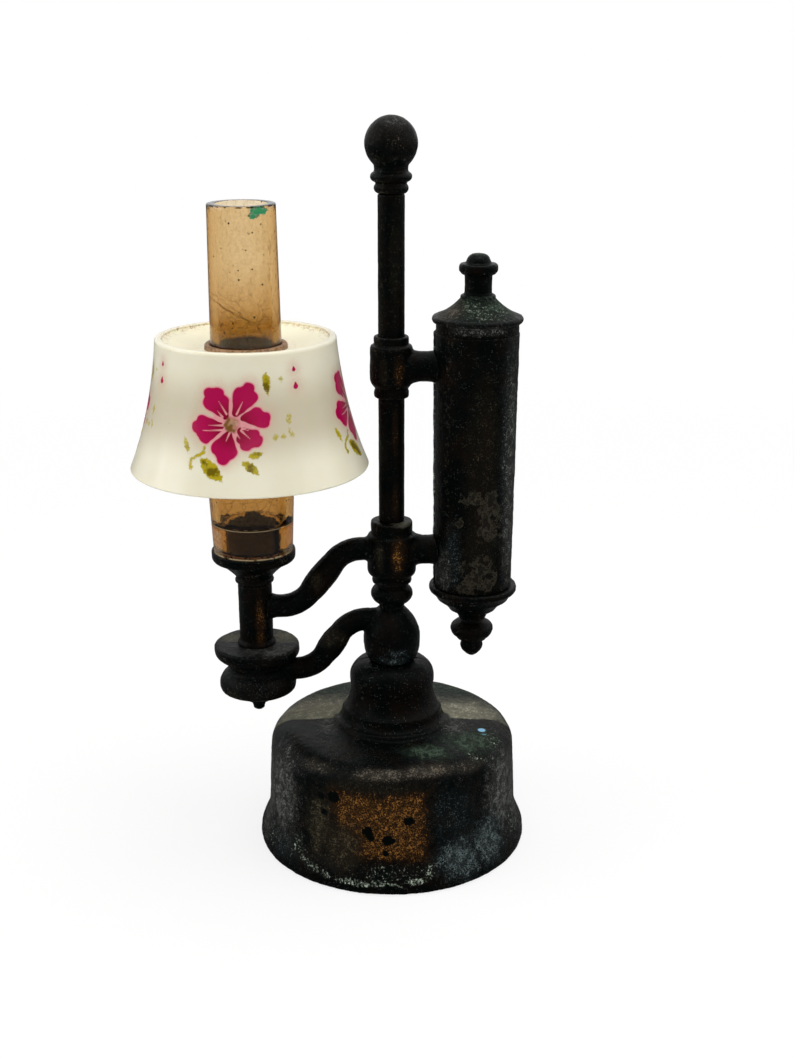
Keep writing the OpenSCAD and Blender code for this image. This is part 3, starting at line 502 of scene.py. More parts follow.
def with_flowers(p, colour, soft):
    """The plastic's colour with the print over it."""
    speck = p.noise(3.0, 3, 0.6)
    colour = p.mix(p.times(p.attribute("halo"), p.blend(speck, 0.15, 0.75)), colour, FLOWER_GLOW)
    colour = p.mix(p.times(printed(p, "edge", 0.04), 0.9), colour, PETAL_EDGE)
    colour = p.mix(p.times(printed(p, "heart", 0.35, 1.2), p.blend(speck, 0.5, 1.0)), colour, HEART)
    reach = p.add(p.attribute("reach"), p.times(soft, 1.2))
    petal = p.mix(p.step(reach, 1.4, 4.4), PETAL_DEEP, PETAL_BRIGHT)
    colour = p.mix(printed(p, "petal"), colour, petal)
    blotch = p.add(p.noise(0.9, 3, 0.6), p.times(p.attribute("leaf"), -0.35))
    leaf = p.mix(p.step(blotch, 0.54, 0.76), LEAF_LIGHT, LEAF_DARK)
    colour = p.mix(p.times(printed(p, "leaf", 0.10, 0.9), p.step(speck, 0.20, 0.36)), colour, leaf)
    colour = p.mix(p.times(printed(p, "seed", 0.12, 0.5), 0.9), colour, SEED)
    faint = p.times(printed(p, "faint", 0.15, 1.2), p.step(speck, 0.26, 0.52), 0.85)
    return p.mix(faint, colour, LEAF_LIGHT)


def with_web_light_and_dirt(p, colour, web_z, inside_r):
    """The colour with painted light on the web's upper face inside the rim, and brown dirt in the corners
    of the web.
    """
    from_axis = p.vector("SUBTRACT", p.place, (BURNER_X, 0, 0))
    radius = p.vector("LENGTH", p.vector("MULTIPLY", from_axis, (1, 1, 0)))
    over_web = p.step(p.axis("Z"), web_z - 0.3, web_z)
    # Painted light: the upward face inside the rim is made paler
    web_light = p.times(p.step(radius, inside_r + 0.2, inside_r), over_web)
    colour = p.mix(p.times(web_light, 0.8), colour, WEB_PAINTED_LIGHT)
    corner = p.most(p.step(radius, inside_r - 1.5, inside_r - 0.1), p.step(radius, 7.4, 5.4))
    corner = p.times(corner, p.step(radius, inside_r + 0.2, inside_r + 0.02), over_web)
    corner = p.times(corner, p.step(p.apart(p.axis("X"), BURNER_X), 2.0, 9.0))
    dirt = p.times(corner, p.step(p.noise(1.8, 4, 0.75), 0.50, 0.66))
    return p.mix(p.times(dirt, 0.8), colour, (0.26, 0.15, 0.055))


def printed_plastic(name, web_z, inside_r):
    """Milk-white plastic with painted shade half-way up and painted light on the web, with the print, some
    dirt and a few dark dots.
    """
    p = Paint(name)
    soft = p.noise(0.25, 3)
    colour = p.mix(soft, (0.75, 0.70, 0.54), (0.79, 0.76, 0.615))
    # Painted shade: darker half-way up, for the dark inside seen through the plastic
    half_way = p.step(p.apart(p.axis("Z"), FLOWER_Z + 0.5), 6.5, 1.0)
    colour = p.mix(p.times(half_way, 0.85), colour, MIDDLE_PAINTED_SHADE)
    colour = with_flowers(p, colour, soft)
    colour = with_web_light_and_dirt(p, colour, web_z, inside_r)
    dots = p.step(p.cells(0.55)["Distance"], 0.035, 0.02)
    colour = p.mix(p.times(dots, 0.8), colour, (0.06, 0.04, 0.03))
    p.set(Base_Color=colour, Roughness=p.blend(soft, 0.16, 0.28), Specular_IOR_Level=0.4)
    p.set(Subsurface_Weight=0.25, Subsurface_Radius=(1.0, 0.8, 0.5), Subsurface_Scale=1.0 * MM)
    p.relief(p.noise(0.8, 2), 0.02)
    return p.material


# Floor and background

WHITE = (1, 1, 1, 1)
FLOOR_GLOW = 0.78
FLOOR_COLOUR = (0.88, 0.88, 0.87, 1)
FLOOR_REFLECTED = (0.16, 0.16, 0.16, 1)

# In metres: where the floor's glow begins and where it is full, and the floor's side
GLOW_FROM = 0.10
GLOW_TO = 0.30
FLOOR_SIZE = 6


def link_all(tree, *pairs):
    for output, socket in pairs:
        tree.links.new(output, socket)


def seen_or_through(tree):
    """1 for what the eye sees, also through the plastic."""
    path = add_node(tree, "LightPath")
    either = add_node(tree, "Math", operation="MAXIMUM")
    link_all(tree, (path.outputs["Is Camera Ray"], either.inputs[0]),
             (path.outputs["Is Transmission Ray"], either.inputs[1]))
    return path, either.outputs[0]


def floor_nodes(tree):
    """Matt where light falls, darker to reflections, and glowing to the eye further out."""
    matte = add_node(tree, "BsdfDiffuse")
    glow = add_node(tree, "Emission", Color=WHITE)
    place = add_node(tree, "NewGeometry")
    distance = add_node(tree, "VectorMath", operation="LENGTH")
    share = add_node(tree, "MapRange", From_Min=GLOW_FROM, From_Max=GLOW_TO, To_Min=FLOOR_GLOW)
    path, seen = seen_or_through(tree)
    amount = add_node(tree, "Math", operation="MULTIPLY")
    both = add_node(tree, "MixShader")
    mirrored = add_node(tree, "Mix", data_type="RGBA")
    mirrored.inputs[6].default_value = FLOOR_COLOUR
    mirrored.inputs[7].default_value = FLOOR_REFLECTED
    link_all(tree,
             (path.outputs["Is Glossy Ray"], mirrored.inputs[0]),
             (mirrored.outputs[2], matte.inputs["Color"]),
             (place.outputs["Position"], distance.inputs[0]),
             (distance.outputs["Value"], share.inputs["Value"]),
             (share.outputs[0], amount.inputs[0]), (seen, amount.inputs[1]),
             (amount.outputs[0], both.inputs[0]),
             (matte.outputs[0], both.inputs[1]), (glow.outputs[0], both.inputs[2]))
    return both.outputs[0]


def floor_material():
    """A pale floor, near white to the eye, that keeps the lamp's shadow and fades into the backdrop."""
    material = bpy.data.materials.new("pale_floor")
    material.use_nodes = True
    tree = material.node_tree
    tree.nodes.clear()
    output = add_node(tree, "OutputMaterial")
    tree.links.new(floor_nodes(tree), output.inputs["Surface"])
    return material


DIFFUSE_LEVEL = 0.42
FRONT_REFLECTION = 0.05
BACK_REFLECTION = 0.8

# How far back a direction points, from -1 to 1, where the room begins to brighten and where it is bright
ROOM_DARK_TO = -0.14
ROOM_BRIGHT_FROM = 0.08


def make_world():
    """White to the eye and in reflections from behind, dim in front, and an even soft light on the lamp."""
    world = bpy.data.worlds.new("studio")
    world.use_nodes = True
    tree = world.node_tree
    tree.nodes.clear()
    output = add_node(tree, "OutputWorld")
    back = add_node(tree, "Background", Color=WHITE)
    where = add_node(tree, "TexCoord")
    parts = add_node(tree, "SeparateXYZ")
    room = add_node(tree, "MapRange", interpolation_type="SMOOTHSTEP",
                    From_Min=ROOM_DARK_TO, From_Max=ROOM_BRIGHT_FROM,
                    To_Min=FRONT_REFLECTION, To_Max=BACK_REFLECTION)
    path, seen = seen_or_through(tree)
    shine = add_node(tree, "Mix")
    shine.inputs[2].default_value = DIFFUSE_LEVEL
    level = add_node(tree, "Mix")
    level.inputs[3].default_value = 1.0
    link_all(tree,
             (where.outputs["Generated"], parts.inputs[0]), (parts.outputs["Y"], room.inputs["Value"]),
             (path.outputs["Is Glossy Ray"], shine.inputs[0]), (room.outputs[0], shine.inputs[3]),
             (seen, level.inputs[0]), (shine.outputs[0], level.inputs[2]),
             (level.outputs[0], back.inputs["Strength"]),
             (back.outputs[0], output.inputs["Surface"]))
    bpy.context.scene.world = world


make_world()
bpy.ops.mesh.primitive_plane_add(size=FLOOR_SIZE, location=(0, 0, 0))
floor = bpy.context.object
floor.name = "floor"
floor.data.materials.append(floor_material())

view = bpy.context.scene.view_settings
view.view_transform = "Standard"


# Pieces


def arc(x, z, radius, start, end, count=6):
    """Points of a rounded edge about (x, z), angles in degrees."""
    angles = [math.radians(start + (end - start) * i / count) for i in range(count + 1)]
    return [(x + radius * math.cos(a), z + radius * math.sin(a)) for a in angles]


def curve(a, b, c, count=8):
    """Points of a curve with one control point b."""
    points = []
    for i in range(count + 1):
        t = i / count
        points.append(tuple((1 - t) ** 2 * a[k] + 2 * t * (1 - t) * b[k] + t * t * c[k] for k in (0, 1)))
    return points


def finer(points, gap):
    """The same outline with no two points further apart than gap."""
    dense = []
    for (x0, z0), (x1, z1) in zip(points, points[1:]):
        count = max(1, math.ceil(math.hypot(x1 - x0, z1 - z0) / gap))
        dense += [(x0 + (x1 - x0) * i / count, z0 + (z1 - z0) * i / count) for i in range(count)]
    return dense + [points[-1]]


def new_piece(name, mesh, material, body, slot, *nodes, sharp=0):
    """A mesh as a piece that rides a body and stands in for nodes; edges over sharp degrees stay sharp."""
    mesh.materials.clear()
    mesh.materials.append(material)
    mesh.shade_smooth()
    if sharp:
        mesh.set_sharp_from_angle(angle=math.radians(sharp))
    piece = bpy.data.objects.new(name, mesh)
    bpy.context.scene.collection.objects.link(piece)
    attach(piece, body)
    if nodes:
        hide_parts(*nodes)
    return piece


def lathe(name, outline, x, segments):
    """A closed outline of (radius, z) turned round the upright axis at x, as a mesh."""
    vertices = []
    faces = []
    count = len(outline)
    for i in range(segments):
        turn = 2 * math.pi * i / segments
        here = i * count
        ahead = (i + 1) % segments * count
        for j, (r, z) in enumerate(outline):
            above = (j + 1) % count
            vertices.append(((x + r * math.sin(turn)) * MM, -r * math.cos(turn) * MM, z * MM))
            faces.append((here + j, ahead + j, ahead + above, here + above))
    mesh = bpy.data.meshes.new(name)
    mesh.from_pydata(vertices, [], faces)
    mesh.validate()
    return mesh


def remeshed(node, voxel, smoothing=4):
    """A copy of a node's solid as an even, soft-edged mesh."""
    holder = bpy.data.objects.new("holder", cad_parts[node].data.copy())
    bpy.context.scene.collection.objects.link(holder)
    modifier = holder.modifiers.new("remesh", "REMESH")
    modifier.mode = "VOXEL"
    modifier.voxel_size = voxel * MM
    smooth = holder.modifiers.new("smooth", "SMOOTH")
    smooth.factor = 0.5
    smooth.iterations = smoothing
    seen = holder.evaluated_get(bpy.context.evaluated_depsgraph_get())
    mesh = bpy.data.meshes.new_from_object(seen)
    bpy.data.objects.remove(holder)
    return mesh


# How fine a casting's wide and close unevenness is, per millimetre
WIDE_WAVES = 0.45
CLOSE_WAVES = 1.7


def roughen(mesh, depth, swell=0.0, seed=0.0):
    """Gives a mesh the uneven skin of a casting; depth and swell in millimetres."""
    count = len(mesh.vertices)
    places = np.empty(count * 3, np.float32)
    normals = np.empty(count * 3, np.float32)
    mesh.vertices.foreach_get("co", places)
    mesh.vertex_normals.foreach_get("vector", normals)
    places = places.reshape(-1, 3)
    lift = np.empty(count, np.float32)
    for i, (x, y, z) in enumerate((places / MM).tolist()):
        wide = noise.noise(Vector((x * WIDE_WAVES + seed, y * WIDE_WAVES, z * WIDE_WAVES)))
        close = noise.noise(Vector((x * CLOSE_WAVES, y * CLOSE_WAVES + seed, z * CLOSE_WAVES)))
        lift[i] = swell + depth * (0.6 * wide + 0.4 * close)
    places += normals.reshape(-1, 3) * lift[:, None] * MM
    places[:, 2] = np.maximum(places[:, 2], 0.0)
    mesh.vertices.foreach_set("co", places.ravel())


BAND_INSET = 0.1
BAND_HIGH = 1.5
BAND_DEEP = 1.0


def widen_band(mesh):
    """Draws the lid's band out to the width of the tube that it stands on."""
    tube_high = node_box("tank_front_shell")[1]
    band_r = tube_high.x - TANK_X - BAND_INSET
    for vertex in mesh.vertices:
        x = vertex.co.x / MM - TANK_X
        y = vertex.co.y / MM
        radius = math.hypot(x, y)
        over = vertex.co.z / MM - tube_high.z
        if 0 < over < BAND_HIGH and band_r - BAND_DEEP < radius < band_r:
            vertex.co.x = (TANK_X + x * band_r / radius) * MM
            vertex.co.y = y * band_r / radius * MM


def casting(node, material, body="lamp", slot="casting", voxel=0.13, depth=0.07, swell=0.0, smoothing=4,
            push=(0, 0)):
    """A node as a rough casting of the same shape, pushed aside along X and Y by so many millimetres."""
    mesh = remeshed(node, voxel, smoothing)
    if node == "tank_lid":
        widen_band(mesh)
    roughen(mesh, depth, swell, seed=3.1 * len(node))
    mesh.transform(Matrix.Translation((push[0] * MM, push[1] * MM, 0)))
    return new_piece(node + "_cast", mesh, material, body, slot, node)


PANEL_MIDDLE = (-1.6, 9.5)
PANEL_HALF = (7.1, 5.5)
PANEL_EDGE = 2.4


def copper_panel(p):
    """The copper panel on the front of the bell, worn bare by rubbing."""
    return p.times(p.box(PANEL_MIDDLE, PANEL_HALF), PANEL_EDGE)


SALT_LINE = [(-13.2, -12.9, 5.2), (-13.0, -13.3, 3.9), (-12.6, -13.7, 3.0), (-10.8, -15.5, 2.3),
             (-8.4, -17.1, 1.8), (-4.0, -18.6, 1.7), (0.5, -18.9, 1.7), (4.4, -18.4, 2.2),
             (5.5, -18.0, 2.9), (5.6, -17.9, 4.2)]


def salt_line(p):
    """The crust that runs along the foot of the bell."""
    return p.less(p.path(SALT_LINE, 1.5), p.step(p.noise(0.35, 3), 0.50, 0.72))


COPPER_PITS = [(-3.2, -17.2, 8.8, 0.8, 1.5, 0.9), (-2.8, -17.2, 8.0, 0.5, 1.5, 0.6),
               (-0.4, -17.4, 7.7, 1.0, 1.5, 0.8), (2.4, -17.2, 10.5, 0.9, 1.5, 0.7),
               (-0.8, -17.4, 5.8, 0.5, 1.5, 0.5), (-7.9, -15.8, 13.2, 1.0, 1.5, 1.1),
               (-9.6, -14.9, 12.9, 0.8, 1.5, 0.7), (-9.2, -15.2, 10.6, 0.6, 1.5, 0.5)]
base_front = patina(
    "casting_base_front",
    # Painted sheen: the haze down the bell's left and right edges and over its shoulder
    [(HAZE_AND_SHEEN, 0.75, [(-17.8, -3.0, 9.5, 2.2, 6.0, 9.5), (17.8, -3.0, 9.5, 2.2, 6.0, 9.5)]),
     (HAZE_AND_SHEEN, 0.75, [(-15.6, -8.5, 10.5, 4.2, 6.0, 8.5), (15.6, -8.5, 10.5, 4.2, 6.0, 8.5)]),
     (HAZE_AND_SHEEN, 0.10, [(-6.0, -12.0, 17.4, 9.0, 4.0, 1.6), (7.0, -12.5, 17.0, 8.0, 3.5, 1.6)]),
     (BLUE, 1.00, [(9.8, -15.8, 4.0, 5.4, 3.5, 4.2), (13.8, -12.0, 5.0, 4.6, 4.5, 4.6)]),
     (BLUE, 0.45, [(-15.4, -10.0, 3.2, 3.0, 4.0, 3.0), (9.0, -15.2, 10.5, 6.5, 3.5, 5.0)]),
     (OLIVE, 0.95, [(-9.8, -14.6, 8.6, 3.0, 3.4, 6.4), (-7.0, -16.2, 5.4, 4.5, 3.0, 3.0)]),
     (OLIVE, 0.60, [(-4.0, -17.0, 14.9, 11.0, 3.0, 2.0)]),
     (COPPER, 1.0, copper_panel),
     (OLIVE, 0.85, [(-6.6, -16.2, 6.6, 3.6, 2.6, 4.4)]),
     # Painted highlight: the rub streaks along the shoulder of the bell
     (RUB_AND_HIGHLIGHT, 0.9, [(-2.0, -15.9, 16.7, 5.0, 2.0, 0.75), (5.0, -14.9, 16.8, 5.5, 2.4, 0.75)]),
     (RUB_AND_HIGHLIGHT, 0.55, [(-10.0, -12.4, 16.4, 4.5, 3.0, 0.8), (10.5, -12.4, 16.4, 3.5, 3.0, 0.9)]),
     (GREEN, 0.95, [(10.8, -7.0, 17.6, 5.5, 4.5, 2.0), (5.0, -10.5, 17.6, 4.5, 2.6, 2.0)]),
     (HAZE_AND_SHEEN, 0.80, [(8.8, -2.6, 18.2, 2.2, 4.0, 1.4), (-9.0, -2.0, 18.2, 2.0, 4.0, 1.4)]),
     (SALT, 0.45, [(14.2, -5.6, 17.0, 2.2, 3.4, 1.6), (11.5, -10.8, 16.9, 2.6, 1.6, 1.0)]),
     (SALT, 0.36, [(0.0, -18.0, 3.0, 7.0, 2.5, 1.6)]),
     (SALT, 0.60, [(-13.2, -12.9, 4.2, 1.6, 2.5, 2.4), (5.4, -17.9, 3.4, 1.2, 2.0, 1.6)]),
     (SALT, 0.85, salt_line),
     (SALT, 0.42, [(17.0, -4.5, 5.0, 1.6, 4.5, 5.0), (-16.8, -6.5, 2.6, 1.8, 3.6, 1.8)])],
    pits=COPPER_PITS,
    dots=[((12.64, -3.55, 17.5, 0.62, 0.62, 0.8), (0.25, 0.50, 0.70)),
          ((12.9, -4.9, 17.4, 0.4, 0.22, 0.8), (0.09, 0.22, 0.25))],
    dust_and_glint=0.6,
    seam=True,
)
base_rear = patina(
    "casting_base_rear",
    # Painted sheen: the haze along the far rim of the top and down both sides
    [(HAZE_AND_SHEEN, 0.8, [(0.0, 12.0, 16.5, 16.0, 6.0, 3.0)]),
     (HAZE_AND_SHEEN, 0.7, [(-17.8, 2.0, 9.5, 2.6, 7.0, 9.5), (17.8, 2.0, 9.5, 2.6, 7.0, 9.5)]),
     (GREEN, 0.7, [(9.0, 11.0, 16.8, 8.0, 6.0, 2.4), (-10.0, 11.0, 16.8, 8.0, 6.0, 2.4)]),
     (TAN, 1.0, [(9.4, 1.4, 18.0, 7.8, 5.6, 3.0), (-9.4, 1.6, 18.0, 9.6, 6.4, 3.0)]),
     (TAN, 0.8, [(8.6, 0.6, 18.2, 3.6, 2.4, 2.0), (-10.4, 1.2, 17.8, 6.4, 3.6, 2.6)]),
     (BLUE, 0.7, [(14.0, 9.0, 10.0, 5.0, 7.0, 6.0), (-12.0, 12.0, 9.0, 6.0, 6.0, 7.0)]),
     (BLUE, 0.7, [(4.0, 17.0, 7.0, 7.0, 4.0, 6.0)]),
     (COPPER, 0.7, [(-3.0, 17.0, 10.0, 5.0, 3.0, 4.0)]),
     (SALT, 0.5, [(-16.0, 8.0, 2.0, 3.0, 6.0, 1.2), (6.0, 18.2, 2.0, 8.0, 2.0, 1.0)])],
    dust_and_glint=0.6,
)
casting("base_front_shell", base_front, voxel=0.19, depth=0.08, swell=-0.05, smoothing=9, push=(0, 0.14))
casting("base_rear_shell", base_rear, voxel=0.19, depth=0.08, smoothing=9, push=(0, -0.14))

PAN_BELOW_CUP = 8.9
pan_top = node_box("burner_cup")[0].z - PAN_BELOW_CUP
arm_front = patina(
    "casting_arm_front",
    [(OLIVE, 0.7, [(-8.0, -1.2, 30.5, 2.6, 1.2, 1.6), (BURNER_X - 3.0, -4.2, 22.9, 2.0, 2.0, 1.2)]),
     (BLUE, 0.8, [(0.3, -3.0, 28.0, 2.8, 2.0, 1.1), (0.6, -2.9, 29.2, 2.0, 2.0, 0.9)]),
     (HAZE_AND_SHEEN, 0.16, [(BURNER_X, -4.5, 24.0, 5.0, 2.0, 3.0)]),
     (HAZE_AND_SHEEN, 0.7, [(BURNER_X + 1.5, -2.6, pan_top, 5.0, 3.4, 0.9)]),
     (SALT, 0.35, [(BURNER_X - 4.2, -1.6, 26.2, 0.9, 1.6, 1.0)])],
    edge_wear_and_glint=0.6,
    seam=True,
)
arm_rear = patina(
    "casting_arm_rear",
    [(HAZE_AND_SHEEN, 0.8, [(BURNER_X, 2.6, pan_top, 6.0, 3.4, 0.9)]),
     (TAN, 0.6, [(BURNER_X + 3.4, 2.0, pan_top, 2.6, 2.8, 0.9)]),
     (TAN, 0.6, [(BURNER_X - 3.8, 1.6, pan_top, 1.8, 1.8, 0.9)])],
    edge_wear_and_glint=0.6,
    seam=True,
)
casting("lower_arm_front", arm_front, push=(0, 0.05))
casting("lower_arm_rear", arm_rear, swell=-0.03, push=(0, -0.05))

lower_sleeve_paint = patina(
    "casting_lower_sleeve",
    [(COPPER, 0.95, [(0.9, -3.1, 43.2, 1.2, 1.2, 2.8), (0.9, -3.1, 41.6, 0.9, 1.0, 1.3)]),
     (OLIVE, 0.8, [(-10.2, -1.4, 39.0, 1.2, 1.0, 1.6), (-1.6, -2.8, 43.0, 0.8, 1.0, 2.6)]),
     (COPPER, 0.4, [(-10.0, -1.4, 39.0, 0.8, 1.0, 1.6)]),
     (TAN, 0.3, [(1.5, -1.6, 47.3, 1.6, 1.6, 0.4)])],
    edge_wear_and_glint=0.7,
)
upper_sleeve_paint = patina(
    "casting_upper_sleeve",
    [(COPPER, 0.72, [(1.0, -2.7, 68.3, 0.9, 1.2, 2.4)]), (OLIVE, 0.6, [(-1.0, -2.6, 68.0, 0.8, 1.0, 2.4)])],
    edge_wear_and_glint=0.7,
)
casting("lower_sleeve", lower_sleeve_paint)
casting("upper_sleeve", upper_sleeve_paint)
casting("knob_ring", patina("casting_knob_ring", edge_wear_and_glint=0.8), voxel=0.1, depth=0.05)
finial_paint = patina(
    "casting_finial",
    # Painted highlights: the haze on top of the ball and the broad rub on its front; the rub low on its
    # front is wear
    [(RUB_AND_HIGHLIGHT, 0.22, [(0.6, -2.4, 96.8, 2.6, 2.0, 2.2)]), (HAZE_AND_SHEEN, 0.4, [(0.0, -0.8, 99.2, 2.4, 2.4, 1.3)]),
     (RUB_AND_HIGHLIGHT, 0.8, [(0.4, -1.6, 95.0, 1.6, 1.6, 0.6)])],
    edge_wear_and_glint=0.6,
)
casting("ball_finial", finial_paint, voxel=0.12, depth=0.06, swell=-0.04)
casting("pan_nut", patina("casting_pan_nut", edge_wear_and_glint=0.6), voxel=0.08, depth=0.04)

column_paint = patina(
    "casting_column",
    [(COPPER, 0.85, [(BURNER_X + 0.8, -2.3, 33.6, 0.75, 1.2, 4.6)]),
     (COPPER, 0.85, [(BURNER_X + 0.8, -2.3, 31.2, 0.8, 1.2, 1.8)])],
    edge_wear_and_glint=0.6,
)
casting("burner_column", column_paint, voxel=0.11, depth=0.05)
cup_z = node_box("burner_cup")[1].z
cup_paint = patina(
    "casting_cup",
    [(SALT, 0.6, [(BURNER_X + 3.6, -3.6, cup_z - 2.0, 1.0, 1.4, 1.0)]),
     (SALT, 0.4, [(BURNER_X, -5.4, cup_z, 6.0, 1.4, 0.35)])],
    edge_wear_and_glint=0.9,
)
casting("burner_cup", cup_paint, voxel=0.09, depth=0.04)

rod_paint = patina(
    "post_patina",
    [(COPPER, 0.55, [(0.6, -1.7, 50.5, 0.55, 0.9, 3.5), (0.5, -1.7, 60.0, 0.5, 0.9, 4.5)]),
     (OLIVE, 0.45, [(0.5, -1.7, 82.0, 0.9, 1.0, 9.0)])],
)
casting("post_rod", rod_paint, slot="post", voxel=0.11, depth=0.03)

TANK_FLAKES = [(13.2, -4.9, 49.0, 2.2, 2.2, 4.6), (11.2, -5.2, 41.0, 3.6, 2.0, 3.4),
               (8.8, -4.8, 48.6, 0.8, 1.8, 0.9), (10.6, -5.2, 51.8, 2.0, 2.0, 1.2)]
tank_paint = patina(
    "casting_tank",
    [(OLIVE, 0.50, [(12.0, -5.2, 58.0, 3.2, 2.4, 13.0), (12.0, -5.2, 45.0, 3.0, 2.4, 8.0)]),
     (COPPER, 0.22, [(11.6, -5.3, 50.0, 2.0, 2.0, 7.0), (12.4, -5.2, 60.0, 1.2, 2.0, 6.0)]),
     (FLAKED, 1.0, TANK_FLAKES),
     # Painted sheen: the blue, haze and salt down the tank's right side and the haze low at its left
     (BLUE, 0.6, [(8.0, -4.4, 43.5, 1.6, 3.0, 5.5), (15.2, -3.4, 58.0, 1.4, 2.6, 18.0)]),
     (HAZE_AND_SHEEN, 0.6, [(15.6, -2.9, 55.0, 1.3, 2.8, 22.0)]),
     (SALT, 0.28, [(15.9, -2.4, 62.0, 1.0, 2.6, 12.0), (15.8, -2.6, 42.0, 1.0, 2.6, 5.0)]),
     (HAZE_AND_SHEEN, 0.5, [(7.0, -3.4, 41.0, 1.4, 2.6, 4.5)])],
    dust_and_glint=0.45,
)
tank_rear_paint = patina(
    "casting_tank_rear",
    # Painted reflection: the pale haze and salt along the left edge of the rear half
    [(HAZE_AND_SHEEN, 1.0, [(TANK_X - 5.6, 0.6, 56.0, 1.6, 1.6, 22.0)]),
     (SALT, 0.85, [(TANK_X - 5.6, 0.5, 50.0, 1.4, 1.3, 14.0), (TANK_X - 5.6, 0.5, 66.0, 1.4, 1.3, 9.0)]),
     (OLIVE, 0.6, [(TANK_X, 5.3, 52.0, 3.0, 2.5, 10.0)]),
     (BLUE, 0.6, [(TANK_X + 3.0, 4.4, 60.0, 2.4, 2.4, 9.0)])],
    edge_wear_and_glint=0.8,
)
casting("tank_front_shell", tank_paint, depth=0.09, push=(0, 0.06))
casting("tank_rear_shell", tank_rear_paint, depth=0.12, push=(-0.2, -0.06))
lid_paint = patina(
    "casting_lid",
    [(GREEN, 0.9, [(TANK_X, 0, 76.2, 6.4, 6.4, 2.2)]), (SALT, 0.5, [(TANK_X, -2.5, 76.0, 5.5, 4.5, 2.2)]),
     # Painted highlights: the rub at the lid's left and the haze round the front of its rim
     (RUB_AND_HIGHLIGHT, 0.8, [(TANK_X - 3.4, -1.6, 76.0, 2.2, 3.0, 1.8)]),
     (HAZE_AND_SHEEN, 0.6, [(TANK_X, -5.0, 74.0, 6.0, 2.0, 0.8)])],
    edge_wear_and_glint=1.0,
    dust_and_glint=0.9,
)
knob_paint = patina("casting_knob", [(GREEN, 0.5, [(TANK_X, 0, 82.8, 2, 2, 0.9)])], edge_wear_and_glint=0.9)
casting("tank_lid", lid_paint, "lid", voxel=0.11)
casting("lid_knob", knob_paint, "lid", voxel=0.1)
casting("tank_bottom_cap", patina("casting_cap", edge_wear_and_glint=1.0), voxel=0.12)
casting("tank_drip_finial", patina("casting_drip", edge_wear_and_glint=0.6), voxel=0.1)


def charred(name, dark, light):
    """Dull and uneven, as burnt wick and tarnished tin are."""
    p = Paint(name)
    colour = p.mix(p.noise(1.4, 4, 0.6), dark, light)
    p.set(Base_Color=colour, Roughness=p.blend(p.noise(3.0), 0.6, 0.9), Specular_IOR_Level=PATINA_GLOSS)
    p.relief(p.noise(2.0, 4), 0.08)
    return p.material


HEAP_DROP = 0.6
HEAP_POWER = 1.4
BURNT_VOXEL = 0.1
BURNT_DEPTH = 0.3


def heap_up(mesh, node):
    """Draws a dome's shoulders down, so that it stands as a small heap."""
    low, high = node_box(node)
    reach = (high.x - low.x) / 2
    for vertex in mesh.vertices:
        away = math.hypot(vertex.co.x / MM - BURNER_X, vertex.co.y / MM) / reach
        keep = 1 - HEAP_DROP * min(away, 1.0) ** HEAP_POWER
        vertex.co.z = low.z * MM + (vertex.co.z - low.z * MM) * keep


peg_mesh = remeshed("burner_peg", BURNT_VOXEL)
peg_paint = charred("charred_peg", (0.0010, 0.0014, 0.0014), (0.0034, 0.0042, 0.0040))
new_piece("burner_peg_rough", peg_mesh, peg_paint, "lamp", "casting", "burner_peg")
wick_mesh = remeshed("wick_dome", BURNT_VOXEL)
heap_up(wick_mesh, "wick_dome")
roughen(wick_mesh, BURNT_DEPTH)
wick_paint = charred("charred_wick", (0.003, 0.002, 0.001), (0.016, 0.010, 0.005))
new_piece("wick_dome_rough", wick_mesh, wick_paint, "lamp", "casting", "wick_dome")

fastener = plain_metal("fastener_steel")
for node in ("post_washer", "post_nut"):
    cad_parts[node].data.materials.clear()
    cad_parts[node].data.materials.append(fastener)


# Chimney, ring and shade


def chimney_outline():
    """Closed outline of the tapered chimney, its narrow neck and its bore."""
    low, high = node_box("chimney")
    peg_low, peg_high = node_box("burner_peg")
    seat = node_box("shade_ring")[0].z
    foot_r = 5.35
    shoulder_r = (high.x - low.x) / 2
    neck_r = 4.66
    top_r = 4.38
    wall = 1.08
    socket_r = (peg_high.x - peg_low.x) / 2 + 0.05
    shelf_z = peg_high.z + 0.1
    outer = [(foot_r - 0.15, low.z), (foot_r, low.z + 0.15)]
    outer += [(shoulder_r, seat - 0.45)] + arc(shoulder_r - 0.4, seat - 0.4, 0.4, 5, 90, 4)
    outer += arc(neck_r + 0.3, seat + 0.3, 0.3, 270, 180, 3)
    outer += arc(top_r - 0.15, high.z - 0.15, 0.15, 0, 80, 3)
    inner = arc(top_r - wall + 0.15, high.z - 0.15, 0.15, 100, 180, 3)
    inner += [(neck_r - wall, seat - wall + 0.4), (neck_r - wall + 0.5, seat - wall - 0.2)]
    inner += [(shoulder_r - wall, seat - wall - 0.9), (foot_r + 0.25 - wall, shelf_z + 0.15)]
    inner += [(foot_r + 0.1 - wall, shelf_z), (socket_r, shelf_z), (socket_r, low.z)]
    return finer(outer + inner, 1.2), shelf_z


chimney_points, shelf_z = chimney_outline()
chimney_mesh = lathe("chimney", chimney_points, BURNER_X, 160)
chimney_paint = amber_plastic("amber_plastic", shelf_z)
new_piece("amber_chimney", chimney_mesh, chimney_paint, "chimney", "chimney_plastic", "chimney", sharp=30)

ring_low, ring_high = node_box("shade_ring")
shade_low, shade_high = node_box("shade")
RING_R = 5.10
WEB_T = 0.6
WEB_RISE = 1.1
FLANGE_R = (ring_high.x - ring_low.x) / 2
WEB_LOW = ring_low.z + 0.4


